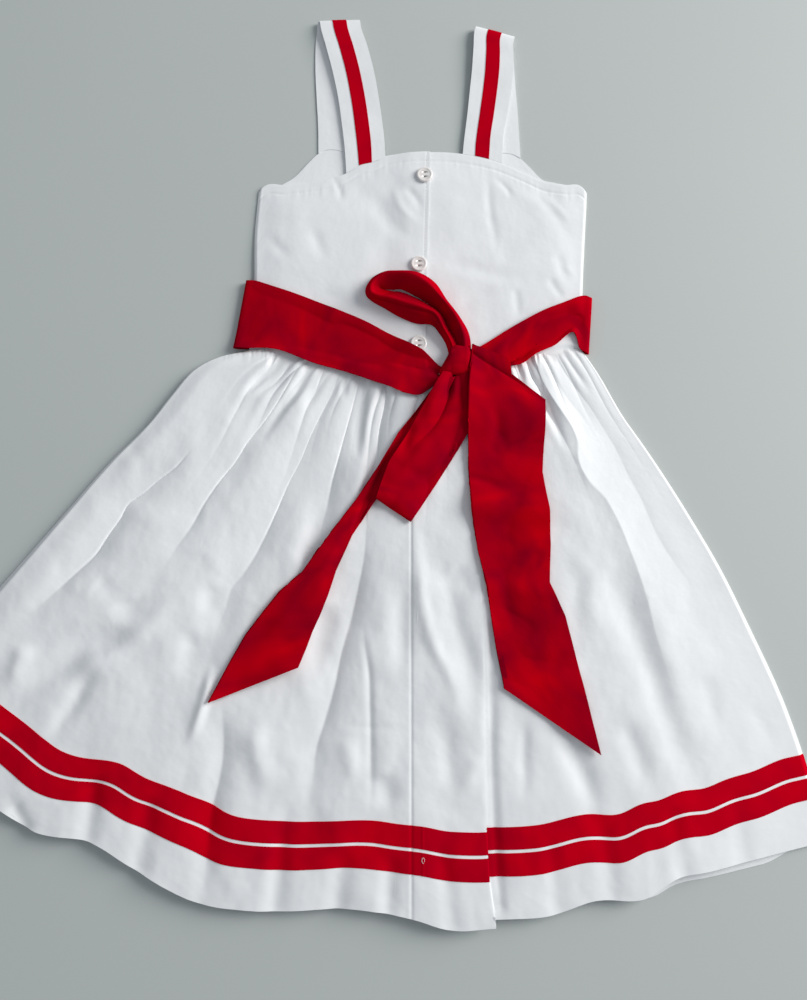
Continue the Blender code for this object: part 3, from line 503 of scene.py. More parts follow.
# Near bodice, right half
# The button side of the placket, cut from the same poplin and sewn into the waist seam.
# It lies under the left half along the front edge and has a few soft drag lines.
PLACKET_LAP, PLACKET_STITCH, TOP_STITCH = 22.0, 2.6, 9.5
EDGE_DROP = NEAR_FACE - 2.0 * CLOTH - 0.1
BODICE_FOLDS = (
    # depth, width, lean, slot, share left at the start and end, marks along the fold
    (1.8, 9, 0, 0, 0, 0, (-38, 156), (-30, 130), (-13, 112), (9, 100)),
    (-1, 4, 0, 0, 0, 0.2, (-22, 159), (-13, 134), (3, 119)),
    (1.3, 4, 0, 0, 0, 0, (-11, 158), (-1, 145), (7, 130)),
    (1, 13, 0, 0, 0, 0, (-65, 154), (-50, 149), (-38, 121)),
    (1.1, 4, 0, 0, 0.3, 0, (65, 167), (67, 127), (71, 99), (69, 89)),
    (1.3, 7, 0, 0, 0, 0, (13, 82), (40, 80), (70, 72), (106, 68)),
    (1.5, 8, 0, 0, 0, 0, (98, 160), (118, 147), (132, 121), (147, 99)),
    (-1, 4, 0, 0, 0, 0, (110, 154), (126, 138), (142, 117)),
    (1.3, 5, 0, 0, 0, 0, (125, 96), (131, 76), (138, 63)),
    (1.2, 4, 0, 0, 0, 0, (117, 71), (124, 58), (133, 45)),
    (-0.9, 3.4, 0, 0, 0, 0, (131, 82), (139, 73), (148, 61)),
    (1.1, 5, 0, 0, 0, 0, (-138, 110), (-124, 97), (-112, 86)),
    (1.1, 5.5, 0, 0, 0, 0, (-96, 119), (-88, 99), (-81, 82)),
    (1.1, 4, 0, 0, 0, 0, (88, 61), (89, 45), (90, 30)),
    (1, 3, 0, 0, 0.5, 0, (74, 163), (81, 156), (88, 144)),
    (0.9, 3, 0, 0, 0.5, 0, (-75, 165), (-70, 154), (-68, 140)),
    (-0.8, 10, 0, 0, 0, 0, (-106, 148), (-109, 115), (-104, 76)),
    (-0.8, 12, 0, 0, 0, 0, (35, 154), (32, 124), (35, 91)),
    (0.9, 6, 0, 0, 0, 0, (74, 58), (47, 48), (34, 31)),
    (0.8, 6, 0, 0, 0, 0, (-104, 48), (-77, 52), (-58, 48)),
)


def bodice_rise(x, y):
    # Air under the bodice, its folds and crumples, all flat at the sides
    left, right = side("left_x")(y), side("right_x")(y)
    edge = smooth((x - left) / 26.0) * smooth((right - x) / 26.0)
    top = smooth((by_x(BODICE_TOP, x) - y) / 30.0)
    puff = edge * (0.5 + 1.3 * top)
    crumple = 0.3 * noise(x / 27.0 + 0.4 * noise(x / 30.0, y / 30.0, 5), y / 31.0, 7)
    crumple = crumple + 0.06 * noise(x / 9.0, y / 11.0, 8)
    folds = soft_folds(x, y, BODICE_FOLDS)[0]
    return np.maximum(puff + (0.6 * folds + crumple * top) * edge, 0.0)


def placket_lift(x, y):
    # The left half comes up over the edge of the right half
    edge = side("placket_x")(y)
    return (WALL + SEAM) * smooth((x - edge + PLACKET_LAP + 18.0) / 24.0)


def bodice_height(x, y):
    # Sides come down to the far panel, and the top edge is pressed flat under its stitching
    left, right = side("left_x")(y), side("right_x")(y)
    drop = EDGE_DROP * (1.0 - smooth(np.minimum(x - left, right - x) / 2.4))
    below = by_x(BODICE_TOP, x) - y
    groove = 0.3 * bell(below - TOP_STITCH, 1.1) + 0.25 * smooth(1.0 - below / 2.0)
    puckers = 0.09 * noise(x / 2.6, y / 30.0, 15) * bell(below - 11.0, 6.0)
    tucked = 1.5 * smooth(1.0 - (y - by_x(WAIST, x)) / 4.5)
    return NEAR_FACE + near_lift(x, y) + bodice_rise(x, y) - drop - groove + puckers - tucked


x, y = bodice_plan(side("placket_x", -PLACKET_LAP), side("right_x"), BODICE_TOP, 170, 190, sink=3.5)
grid = np.stack([x, y, bodice_height(x, y)], -1)
right_half = sheet("near bodice right half", grid, white_cotton)
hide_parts("bodice_upper_right")

# Near bodice, left half
# The buttonhole side laps over the right half. Its front edge is folded and pressed,
# with a stitched line near the fold.
x, y = bodice_plan(side("left_x"), side("placket_x"), BODICE_TOP, 190, 190, sink=3.5)
from_edge = side("placket_x")(y) - x
groove = 0.22 * bell(from_edge - PLACKET_STITCH, 0.8)
z = bodice_height(x, y) + placket_lift(x, y) - groove
left_half = sheet("near bodice left half", np.stack([x, y, z], -1), white_cotton)
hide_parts("bodice_upper_left")

# Near skirt panel
# Cotton gathered into the waist seam and pressed out to a wide hem, with a seam down
# its middle and a lap pleat to the right of it. Gathers open into uneven soft folds.
HEM_BAND, RIBBON_WIDTH, RIBBON_GAP, SKIRT_LENGTH = 29.5, 16.2, 2.4, 450.0
GATHER_COUNT, GATHER_HEIGHT, GATHER_LENGTH, PUFF = 25, 2.3, 56.0, 4.4
CENTRE_SEAM, SEAM_X = 0.556, -5.5
SKIRT_FOLDS = (
    # depth, width, lean, slot, share left at the start and end, marks along the fold
    (3.2, 3.5, 0, 2, 1, 0, (-118, -6), (-126, -17), (-134, -23), (-142, -31), (-151, -42)),
    (1.6, 1.6, 0, 0.8, 1, 0, (-124, -2), (-130, -15), (-136, -22)),
    (3.2, 4.5, 0.6, 1.5, 1, 0, (-109, -6), (-114, -16), (-120, -24), (-126, -30), (-135, -37), (-141, -43)),
    (4.2, 15, 1, 1.4, 0.2, 0.1, (-104, -16), (-114, -34), (-122, -48), (-134, -66), (-146, -82),
     (-156, -99), (-170, -117), (-181, -134), (-191, -154), (-205, -176), (-216, -197), (-224, -218)),
    (3, 3.6, 0, 2.6, 1, 0, (-91, -11), (-97, -22), (-106, -39), (-117, -53), (-129, -72), (-137, -86)),
    (2.8, 6, 1, 1.8, 1, 0, (-79, -13), (-84, -25), (-91, -42), (-98, -55)),
    (4.4, 14, 1, 1.8, 1, 0.3, (-66, -18), (-72, -35), (-81, -54), (-91, -76), (-100, -99), (-109, -117),
     (-117, -136), (-129, -163), (-139, -183), (-148, -197), (-156, -207), (-160, -223), (-168, -244),
     (-175, -263)),
    (4.4, 12, 1, 2.4, 1, 0.8, (-49, -27), (-54, -48), (-60, -71), (-66, -93), (-73, -118), (-77, -138),
     (-82, -158), (-88, -176)),
    (2, 3, 0, 0.6, 1, 0, (-61, -22), (-62, -35), (-63, -46)),
    (2.4, 4, 0, 0.8, 1, 0, (-45, -29), (-48, -56), (-50, -81), (-51, -102)),
    (4.2, 7, 1, 2.4, 1, 0.7, (-25, -34), (-27, -50), (-31, -69), (-34, -88), (-36, -101), (-41, -124)),
    (4.4, 11, 1, 2.6, 0, 0.2, (-190, -85), (-194, -89), (-208, -105), (-223, -117), (-235, -128),
     (-246, -136), (-252, -148), (-262, -163), (-272, -179), (-284, -191), (-300, -207), (-320, -225),
     (-348, -239)),
    (-1.6, 9, 0, 0, 0, 0, (-198, -212), (-212, -227), (-223, -239), (-238, -252), (-255, -263),
     (-274, -272), (-295, -283), (-322, -301)),
    (3, 13, 0, 0, 0, 0.4, (-231, -233), (-247, -246), (-275, -255), (-295, -272), (-316, -283),
     (-332, -292), (-346, -298)),
    (1.6, 7, 0, 0, 0, 0.3, (-257, -276), (-273, -286), (-281, -301), (-292, -317), (-297, -331)),
    (0.9, 10, 0, 0, 0, 0, (-242, -214), (-240, -226), (-239, -240)),
    (0.7, 10, 0, 0, 0, 0, (-270, -200), (-259, -210), (-251, -222)),
    (0.8, 8, 0, 0, 0, 0, (-170, -203), (-174, -215), (-177, -231)),
    (1.2, 9, 0, 0, 0, 0, (-184, -240), (-189, -258), (-192, -290)),
    (-1.6, 4.5, 0, 0, 0, 0, (-168, -268), (-174, -297), (-180, -317), (-187, -338)),
    (2.6, 10, 0.7, 0, 0, 0.3, (-161, -298), (-158, -331), (-160, -358), (-165, -381), (-168, -415),
     (-170, -453)),
    (-1.4, 8, 0, 0, 0, 0, (-322, -250), (-329, -273), (-340, -290)),
    (1.4, 6, 0, 0, 0.3, 1, (-326, -377), (-322, -386), (-315, -397)),
    (3.6, 12, 1, 0, 0.2, 0.3, (-43, -153), (-45, -181), (-50, -208), (-56, -235), (-63, -260),
     (-69, -290), (-77, -318), (-82, -334), (-86, -366), (-92, -391)),
    (2.2, 10, 0, 0, 0, 0, (-73, -217), (-80, -250), (-87, -282)),
    (1.3, 9, 0, 0, 0, 0, (-13, -193), (-13, -242), (-12, -294)),
    (0.9, 3.2, 0.5, 0, 0, 0, (-46, -232), (-44, -252), (-40, -277), (-39, -302), (-38, -350), (-38, -391)),
    (-1.2, 6, 0, 0, 0.4, 0, (-3, -149), (1, -193), (6, -230), (16, -260), (28, -285), (34, -310),
     (38, -338)),
    (1.8, 9, 0, 0, 0, 0, (7, -167), (14, -184), (24, -202), (31, -235), (39, -260), (45, -285), (43, -326)),
    (1.6, 10, 0, 0, 0, 0, (29, -188), (39, -202), (50, -210)),
    (1.1, 8, 0, 0, 0, 0.3, (23, -302), (24, -346), (26, -382)),
    (-1.2, 7, 0, 0, 0, 0, (49, -340), (42, -358), (34, -374)),
    (1.2, 9, 0, 0, 0, 0, (-31, -354), (-26, -369), (-18, -382)),
    (-1, 8, 0, 0, 0, 0, (-60, -326), (-54, -346), (-50, -369)),
    (0.3, 3, 0, 0, 0, 0, (-67, -318), (-39, -320), (-7, -320)),
    (-1.4, 9, 0, 0, 0, 0, (-137, -314), (-126, -354), (-120, -377)),
    (1.2, 8, 0, 0, 0, 1, (-104, -369), (-110, -415), (-113, -456)),
    (1.2, 9, 0, 0, 0, 1, (-59, -408), (-62, -430), (-64, -459)),
    (1, 7, 0, 0, 0, 1, (-21, -415), (-23, -438), (-24, -459)),
    (2.2, 2.4, 0, 1, 1, 0, (88, -12), (90, -21), (93, -35)),
    (3.2, 3.6, -0.6, 1.4, 1, 0, (96, -10), (100, -24), (106, -35), (112, -54), (119, -67), (123, -78),
     (128, -92)),
    (-2.6, 12, -1, 0, 1, 0.3, (103, -8), (108, -26), (115, -40), (124, -55), (132, -68), (137, -82),
     (137, -98), (145, -116), (159, -131), (168, -148), (180, -180), (190, -213), (197, -246), (209, -288),
     (218, -321)),
    (1.6, 7, 0.7, 0, 0.6, 0, (113, -7), (121, -26), (131, -44), (145, -62), (157, -84)),
    (3.4, 14, 1, 0, 1, 0.2, (122, -4), (130, -20), (141, -37), (150, -50), (160, -67), (172, -89),
     (182, -112), (192, -133), (201, -157), (209, -173), (218, -188), (228, -203), (229, -217),
     (234, -234), (243, -250), (254, -269)),
    (2.8, 3.2, 0, 1.4, 1, 0, (130, -3), (137, -15), (144, -26), (154, -41)),
    (1.8, 2.2, 0, 0.8, 1, 0, (139, -2), (144, -9), (151, -19)),
    (1, 14, 0, 0, 0.3, 0, (159, -47), (172, -75), (189, -111), (210, -143), (232, -173), (249, -209),
     (264, -242), (284, -269)),
    (3, 13, 0, 0, 0, 0.4, (153, -172), (160, -188), (168, -208), (176, -231), (184, -252),
     (194, -277), (201, -301), (209, -323), (217, -345), (226, -366)),
    (0.9, 9, 0, 0, 0, 0.4, (136, -183), (134, -203), (133, -242), (133, -258)),
    (-0.6, 11, 0, 0, 0, 0, (149, -180), (145, -217), (141, -250)),
    (0.7, 13, 0, 0, 0, 0, (158, -185), (158, -217), (160, -250)),
    (1.6, 7, 0, 0, 0, 0, (270, -299), (285, -322), (291, -343)),
    (3, 10, 0, 0, 0.3, 0.3, (118, -326), (129, -347), (137, -367), (141, -386)),
    (1.8, 9, 0, 0, 0, 0.2, (165, -310), (174, -334), (181, -355), (186, -372)),
    (1.2, 8, 0, 0, 0, 0, (233, -274), (241, -298), (245, -326)),
    (1.4, 5, 0, 0, 1, 1, (62, -250), (59, -325), (60, -384), (64, -456)),
    (0.9, 5, 0, 0, 0, 0, (86, -311), (86, -346), (85, -384)),
    (1.6, 10, 0, 0, 0, 0, (74, -183), (76, -217), (73, -250)),
    (1.4, 9, 0, 0, 0, 1, (146, -386), (150, -415), (153, -450)),
    (1.2, 8, 0, 0, 0, 1, (201, -377), (206, -404), (210, -432)),
    (1, 7, 0, 0, 0, 1, (104, -400), (106, -430), (109, -459)),
    (1.2, 9, 0, 0, 0, 1, (256, -363), (258, -392), (260, -423)),
    (1.2, 8, 0, 0, 0, 1, (17, -404), (22, -438), (26, -470)),
    (1.4, 8, 0, 0, 0, 1, (-261, -354), (-263, -381), (-264, -405)),
    (1.4, 9, 0, 0, 0, 1, (-216, -369), (-218, -400), (-222, -427)),
)


def skirt_rise(x, y, across):
    # The gathered cloth stands off the far panel, comes down to it at both sides, and its
    # folds press into that height without reaching the far panel
    edge = 0.6 * smooth(across / 0.009) + 0.4 * smooth(across / 0.05)
    edge = edge * (0.14 * smooth((1.0 - across) / 0.006) + 0.86 * smooth((1.0 - across) / 0.17))
    down = by_x(WAIST, x) - y
    hang = smooth(down / 70.0) * (1.0 - 0.35 * smooth((down - 240.0) / 170.0))
    puff = edge * (2.2 + 2.8 * smooth(down / 16.0) + (PUFF - 1.2) * hang) + 0.05
    number = across * GATHER_COUNT
    wave = number + 0.22 * np.sin(2.3 * number) + 0.12 * np.sin(5.1 * number + 1.0)
    length = GATHER_LENGTH * (1.0 + 0.4 * np.sin(1.9 * number))
    fade = bell(np.maximum(down, 0.0), length) * edge * smooth((across - 0.09) / 0.09)
    gather = (abs(np.sin(np.pi * wave)) ** 0.7 - 0.75) * GATHER_HEIGHT * 1.3 * fade
    tiny = 0.45 * np.sin(x * 1.25 + 2.2 * np.sin(x * 0.23) + 1.1 * np.sin(x * 0.61))
    tiny = tiny * bell(np.maximum(down, 0.0), 6.0 + 4.0 * np.sin(x * 0.37))
    lap = 1.5 * (1.0 - smooth((across - PLEAT) / 0.0012))
    lap = lap * smooth((-y - 170.0) / 120.0) * smooth((x + 110.0) / 150.0)
    bend = 0.5 * noise(x / 46.0, y / 46.0, 11)
    crumple = noise(x / 30.0 + bend, y / 42.0 - bend, 12)
    crumple = crumple + 0.36 * noise(x / 13.0 - bend, y / 17.0, 13) + 0.1 * noise(x / 5.5, y / 6.5, 14)
    crumple = crumple * smooth((down - 20.0) / 60.0) * edge
    folds = soft_folds(x, y, SKIRT_FOLDS)[0]
    bold = 1.8 - 0.6 * smooth((x + 60.0) / 110.0)
    relief = gather + tiny * edge + lap + bold * folds * edge + 0.6 * bold * crumple
    sunk = np.maximum(-relief, 0.0) / puff
    return puff * (1.0 - 0.94 * sunk / (1.0 + sunk**4) ** 0.25) + np.maximum(relief, 0.0)


def skirt_height(x, y, across):
    drop = EDGE_DROP * (1.0 - smooth(np.minimum(across, 1.0 - across) / 0.006))
    tuck = 0.9 * smooth(1.0 - (by_x(WAIST, x) - y) / 4.0)
    seam = 0.5 * bell(x - SEAM_X, 1.2) * smooth((-y - 60.0) / 60.0)
    return NEAR_FACE + near_lift(x, y) + skirt_rise(x, y, across) - drop - tuck - seam


def near_skirt(across, down):
    x, y = skirt_plan(across, down)
    z = skirt_height(x, y, across)
    # Cloth just past the lap pleat goes back under it
    past = (across - PLEAT) * 1000.0
    tuck = -6.0 * smooth(past / 0.9) * smooth((3.2 - past) / 2.0) * smooth((down - 0.3) / 0.35)
    back_x, back_y = soft_folds(x, y, SKIRT_FOLDS)[1:]
    edge = smooth(np.minimum(across, 1.0 - across) / 0.03)
    edge = edge * smooth(down / 0.02) * smooth((1.0 - down) / 0.05)
    return np.stack([x + back_x * edge + tuck, y + back_y * edge, z], -1)


rows_down = np.linspace(0.0, 1.0, 240) ** 1.15
grid = near_skirt(*np.meshgrid(np.linspace(0.0, CENTRE_SEAM, 400), rows_down))
left_skirt = sheet("near skirt left of the seam", grid, white_cotton)
right_shares = np.concatenate([
    np.linspace(CENTRE_SEAM, PLEAT, 82),
    PLEAT + np.array([0.0003, 0.0006, 0.0009, 0.0013, 0.0018, 0.0024, 0.0032]),
    np.linspace(PLEAT + 0.0044, 1.0, 290),
])
grid = near_skirt(*np.meshgrid(right_shares, rows_down))
right_skirt = sheet("near skirt right of the seam", grid, white_cotton)
for piece in (left_skirt, right_skirt):
    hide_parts("skirt_upper")

# Hem ribbons
# Two flat red ribbons with a narrow white gap between them, about 30 mm above the hem, each
# sewn down near both its edges. Their ends meet just right of the centre seam.
RIBBON_STITCH = 1.6
STITCH_FACES = ((0, 1, 2), (0, 2, 3), (1, 4, 5, 2), (2, 5, 6, 3), (4, 7, 5), (5, 7, 6))


def stitches(name, path, skin, length=2.1, gap=1.0, wide=0.42, high=0.16):
    # Row of lockstitches along a path: small long grains of thread
    path = np.asarray(path, float)
    total = running(np.linalg.norm(np.diff(path, axis=0), axis=1))
    points, faces = [], []
    for at in np.arange(0.3, total[-1] - length, length + gap):
        a, b = (np.array([np.interp(d, total, path[:, k]) for k in range(3)]) for d in (at, at + length))
        run = (b - a) / np.linalg.norm(b - a)
        cross = np.cross(run, (0.0, 0.0, 1.0))
        cross = cross / np.linalg.norm(cross)
        top = np.cross(cross, run)
        first = len(points)
        for share in (0.0, 0.25, 0.75, 1.0):
            middle = a + (b - a) * share
            if share in (0.0, 1.0):
                points.append(middle - top * high * 0.4)
            else:
                points += [middle + cross * wide / 2, middle + top * high, middle - cross * wide / 2]
        faces += [tuple(first + n for n in face) for face in STITCH_FACES]
    return make_mesh(name, points, faces, skin)


red_ribbon = cloth_material(
    "red grosgrain ribbon", (0.62, 0.0, 0.01, 1), (0.42, 0.0, 0.012, 1),
    threads=1500.0, rough=0.7, sheen=0.03, shine=0.0, crumple=0.0006, ribbed=True,
)
RIBBON_EDGES = 1.0 - (HEM_BAND + np.cumsum([0.0, RIBBON_WIDTH, RIBBON_GAP, RIBBON_WIDTH])) / SKIRT_LENGTH
RIBBON_WAVES = (
    # where the ribbons lie higher or lower on the cloth: place, width, height
    (0.17, 0.03, -0.008),
    (0.265, 0.025, -0.0095),
    (0.34, 0.02, 0.004),
    (0.8, 0.05, -0.011),
    (0.806, 0.02, 0.017),
    (0.88, 0.02, -0.006),
)


def ribbon_rise(across):
    # Just left of the lap pleat the ribbons lie a little higher above the hem
    rise = 0.0095 * smooth((across - 0.54) / 0.07) * (1.0 - 0.5 * smooth((across - 0.615) / 0.035))
    rise = rise * (across < PLEAT + 0.0004) + 0.0095 * smooth((across - 0.93) / 0.05)
    for place, width, height in RIBBON_WAVES:
        rise = rise + height * bell(across - place, width)
    return rise


ribbon_columns = np.concatenate([np.linspace(0.0, CENTRE_SEAM, 196), right_shares[1:]])
for name, node, high, low in (
    ("upper hem ribbon", "hem_ribbon_upper", RIBBON_EDGES[3], RIBBON_EDGES[2]),
    ("lower hem ribbon", "hem_ribbon_lower", RIBBON_EDGES[1], RIBBON_EDGES[0]),
):
    across, down = np.meshgrid(ribbon_columns, np.linspace(high, low, 14))
    top = near_skirt(across, down - ribbon_rise(across))
    rim = np.minimum(down - high, low - down) * SKIRT_LENGTH
    facing = np.sign(grid_normals(top)[..., 2:3].mean())
    height = 0.42 + 0.06 * smooth(rim / 0.8) + 0.35 * bell(top[..., 0] - 3.4, 0.6)
    top = top + grid_normals(top) * facing * height[..., None]
    ribbon = shell(name, top, red_ribbon, thick=0.36)
    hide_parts(node)
    for n, edge in enumerate((high + RIBBON_STITCH / SKIRT_LENGTH, low - RIBBON_STITCH / SKIRT_LENGTH)):
        across, down = np.meshgrid(ribbon_columns, [edge])
        path = near_skirt(across, down - ribbon_rise(across))[0] + (0.0, 0.0, 0.5)
        stitches("%s stitching %d" % (name, n + 1), path, red_ribbon)

# A loop of white thread stands loose where the ribbons' ends meet
turn = np.linspace(-0.6, 5.2, 22)
thread_x, thread_y = 3.7, -421.6
thread_z = skirt_height(np.array([thread_x]), np.array([thread_y]), np.array([0.6]))[0] + 1.1
loop_x, loop_y = thread_x + 1.1 * np.cos(turn), thread_y + 2.2 * np.sin(turn)
stitches(
    "loose thread at the ribbon join", np.stack([loop_x, loop_y, thread_z + 0.2 * np.cos(turn)], 1),
    white_cotton, length=0.9, gap=0.05, wide=0.4,
)

# Straps
# Each strap is a band of the white cotton, sewn inside the far bodice, folded over at the
# top and brought down to the near bodice, with red ribbon sewn down its outer middle.
STRAP_RIBBON, RIBBON_SHARE, RIBBON_LIFT = 13.0, 0.53, 0.72
STRAP_ROWS, STRAP_COLUMNS = 150, 29
LEFT_STRAP_NEAR = table(
    "left_x left_y right_x right_y",
    (-64.2, 175.5, -28.5, 190.5), (-66, 196, -29.5, 204), (-68.3, 216, -31, 218),
    (-72.6, 246.6, -35, 247), (-78.1, 273.4, -39.6, 273.4), (-84.2, 297, -45.9, 299), (-90, 320, -52.3, 321),
)
RIGHT_STRAP_NEAR = table(
    "left_x left_y right_x right_y",
    (42.5, 192, 78.5, 183), (43.8, 203, 79.8, 205.7), (47.2, 230, 84, 230), (50, 256, 88.2, 254),
    (51.9, 273.5, 90.2, 271), (53.6, 296, 90.9, 288), (55.2, 315, 91.2, 304),
)
LEFT_STRAP_FAR = table(
    "left_x left_y right_x right_y",
    (-90.2, 192, -56, 192.5), (-90.7, 214, -56.5, 214), (-92.7, 246.6, -58.3, 246.6),
    (-94.5, 280, -60, 280), (-94.5, 304, -58, 306), (-93.5, 320, -55, 322),
)
RIGHT_STRAP_FAR = table(
    "left_x left_y right_x right_y",
    (61.5, 191.5, 95.6, 188), (60.2, 214, 94.7, 214), (59, 241, 93.6, 241),
    (57.6, 258, 92.6, 258), (55.5, 288, 91.6, 284), (55.6, 314, 91.3, 304),
)


def mark(outline, edge, row):
    return np.array([outline[edge + "_x"][row], outline[edge + "_y"][row]])


def band_row(outline, row, shares, z):
    # One row of points across a band, from its left edge to its right one
    left, right = mark(outline, "left", row), mark(outline, "right", row)
    return np.column_stack([left + (right - left) * shares[:, None], np.full(len(shares), z)])


def strap_rows(near, far, columns):
    # Middle of the band up the near half, over the fold and down the far half
    shares = np.linspace(0.0, 1.0, columns)
    last = len(near["left_x"]) - 1
    near_z = 1.5 * WALL + SEAM + 0.5 + 2.6 * smooth(1.1 * np.arange(last + 1) / last)
    far_z = 0.5 * WALL
    rows = [band_row(near, k, shares, near_z[k]) for k in range(last + 1)]
    rows[0][:, 1] = by_x(BODICE_TOP, rows[0][:, 0]) + 0.1
    top, bottom = rows[-1], band_row(far, -1, shares, far_z)
    out = -np.cross(bottom[-1] - bottom[0], (0.0, 0.0, 1.0))
    out = out / np.linalg.norm(out)
    for angle in np.linspace(0.0, np.pi, 8)[1:-1]:
        share = (1.0 - math.cos(angle)) / 2.0
        flat = top * (1.0 - share) + bottom * share + out * 5.4 * math.sin(angle)
        flat[:, 2] = (near_z[-1] + far_z) / 2.0 + (near_z[-1] - far_z) / 2.0 * math.cos(angle)
        rows.append(flat)
    rows += [band_row(far, k, shares, far_z) for k in range(len(far["left_x"]) - 1, -1, -1)]
    rows[-1][:, 1] = by_x(UNDER_TOP, rows[-1][:, 0]) + 0.1
    return np.array(rows)


def refine(grid, rows, columns, plan_straight=False):
    # Finer grid through a coarse one, by length along it and evenly across it
    place = running(np.linalg.norm(np.diff(grid, axis=0), axis=2).mean(1))
    at = np.linspace(0.0, place[-1], rows)
    flat = grid.reshape(len(grid), -1)
    fine = np.stack([through(place, flat[:, k], at) for k in range(flat.shape[1])], 1)
    if plan_straight:
        straight = np.stack([np.interp(at, place, flat[:, k]) for k in range(flat.shape[1])], 1)
        plan = np.tile([True, True, False], grid.shape[1])
        fine = np.where(plan, straight, fine)
    fine = fine.reshape(rows, grid.shape[1], 3)
    spot = np.arange(grid.shape[1], dtype=float)
    want = np.linspace(0.0, grid.shape[1] - 1, columns)
    fine = fine.transpose(1, 0, 2).reshape(grid.shape[1], -1)
    fine = np.stack([through(spot, fine[:, k], want) for k in range(fine.shape[1])], 1)
    return fine.reshape(columns, rows, 3).transpose(1, 0, 2)


def band(name, middle, skin, thick=0.7):
    # Sheet with its middle on the grid
    normal = grid_normals(middle)
    return shell(name, middle + normal * thick / 2.0, skin, thick, up=False)


for word, near, far in (
    ("left", LEFT_STRAP_NEAR, LEFT_STRAP_FAR),
    ("right", RIGHT_STRAP_NEAR, RIGHT_STRAP_FAR),
):
    middle = refine(strap_rows(near, far, 7), STRAP_ROWS, STRAP_COLUMNS)
    length = np.linspace(0.0, 1.0, STRAP_ROWS)[:, None]
    width = np.linspace(0.0, 1.0, STRAP_COLUMNS)[None, :]
    sway = 0.25 * noise(length * 14.0 + 3.0, width * 2.0, 21)
    sway = sway * smooth(length / 0.05) * smooth((1 - length) / 0.05)
    middle[..., 2] += np.where(middle[..., 2] > 1.2, sway, 0.0)
    strap = band(word + " strap", middle, white_cotton)
    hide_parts("strap_" + word)
    normal = grid_normals(middle)
    outward = 1.0 if normal[20][14][2] > 0 else -1.0
    wide = np.linalg.norm(middle[:, -1] - middle[:, 0], axis=1)
    top = np.zeros((int(STRAP_ROWS * RIBBON_SHARE), 11, 3))
    for r in range(len(top)):
        for n, s in enumerate(np.linspace(-0.5, 0.5, 11)):
            place = (0.49 + s * STRAP_RIBBON / wide[r]) * (STRAP_COLUMNS - 1)
            c = min(int(place), STRAP_COLUMNS - 2)
            point = middle[r][c] * (1 - place + c) + middle[r][c + 1] * (place - c)
            top[r, n] = point + normal[r][c] * outward * RIBBON_LIFT
    ribbon = shell(word + " strap ribbon", top, red_ribbon, thick=0.34)
    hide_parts("strap_ribbon_" + word)
    for n, c in ((1, 1), (2, 9)):
        path = top[:62, c] + (0, 0, 0.06)
        stitches("%s strap ribbon stitching %d" % (word, n), path, red_ribbon)

# Stitching on the white cotton
# White thread holds down the top edge of both halves, and the folded front edge of the
# placket, in a row of even lockstitches.
white_thread = cloth_material(
    "white thread", (0.88, 0.88, 0.88, 1), (0.78, 0.79, 0.8, 1),
    threads=3000.0, rough=0.55, sheen=0.1, shine=0.3, crumple=0.0002,
)


def stitch_on_bodice(name, x, y, left):
    z = bodice_height(x, y) + (placket_lift(x, y) if left else 0.0)
    stitches(name, np.stack([x, y, z - 0.02], -1), white_thread)


run = np.linspace(-140.0, 11.0, 300)
stitch_on_bodice("top edge stitching left", run, by_x(BODICE_TOP, run) - TOP_STITCH, True)
run = np.linspace(13.0, 152.0, 300)
stitch_on_bodice("top edge stitching right", run, by_x(BODICE_TOP, run) - TOP_STITCH, False)
run = np.linspace(188.0, 4.0, 300)
stitch_on_bodice("placket stitching", side("placket_x")(run) - PLACKET_STITCH, run, True)

# Buttons
# Three two-hole buttons of pearly white plastic down the placket, each turned from one
# blank with a dished middle and a round rim, and sewn on with white thread.
BUTTON_RADIUS, BUTTON_HEIGHT, BUTTON_HOLE = 7.3, 2.4, 1.0
AROUND, AROUND_HOLE = 56, 18
BUTTONS = table("x y", (7.3, 167), (1.8, 80.6), (1.4, 6.6))
BUTTON_PROFILE = (
    # share of the radius, height
    (0.7, 0.0), (0.88, 0.15), (0.97, 0.6), (1.0, 1.2), (0.985, 1.7), (0.94, 2.15), (0.87, 2.35),
    (0.79, 2.34), (0.73, 2.22), (0.68, 2.05), (0.62, 1.97),
)
BUTTON_HOLES = ((0.0, 2.2), (0.0, -2.2))
pearl, tree, shader, cloth = material("pearl plastic")
swirl = cloth.node("ShaderNodeTexCoord", out=3).cloud(160.0, 3.0, Distortion=1.6)
tint = swirl.spread(0.35, 0.65).blend((0.84, 0.79, 0.76, 1), (0.92, 0.88, 0.86, 1))
feed(tree, shader, "Base Color", tint)
feed(tree, shader, "Roughness", swirl * 0.12 + 0.2)
shader.inputs["Coat Weight"].default_value = 0.4
shader.inputs["Coat Roughness"].default_value = 0.12


def circle(radius, count, x=0.0, y=0.0):
    turn = 2.0 * np.pi * np.arange(count) / count
    return list(zip(x + radius * np.cos(turn), y + radius * np.sin(turn)))


def tube_faces(rings, around):
    spots = [(k * around, n, (n + 1) % around) for k in range(rings - 1) for n in range(around)]
    return [(k + a, k + b, k + b + around, k + a + around) for k, a, b in spots]


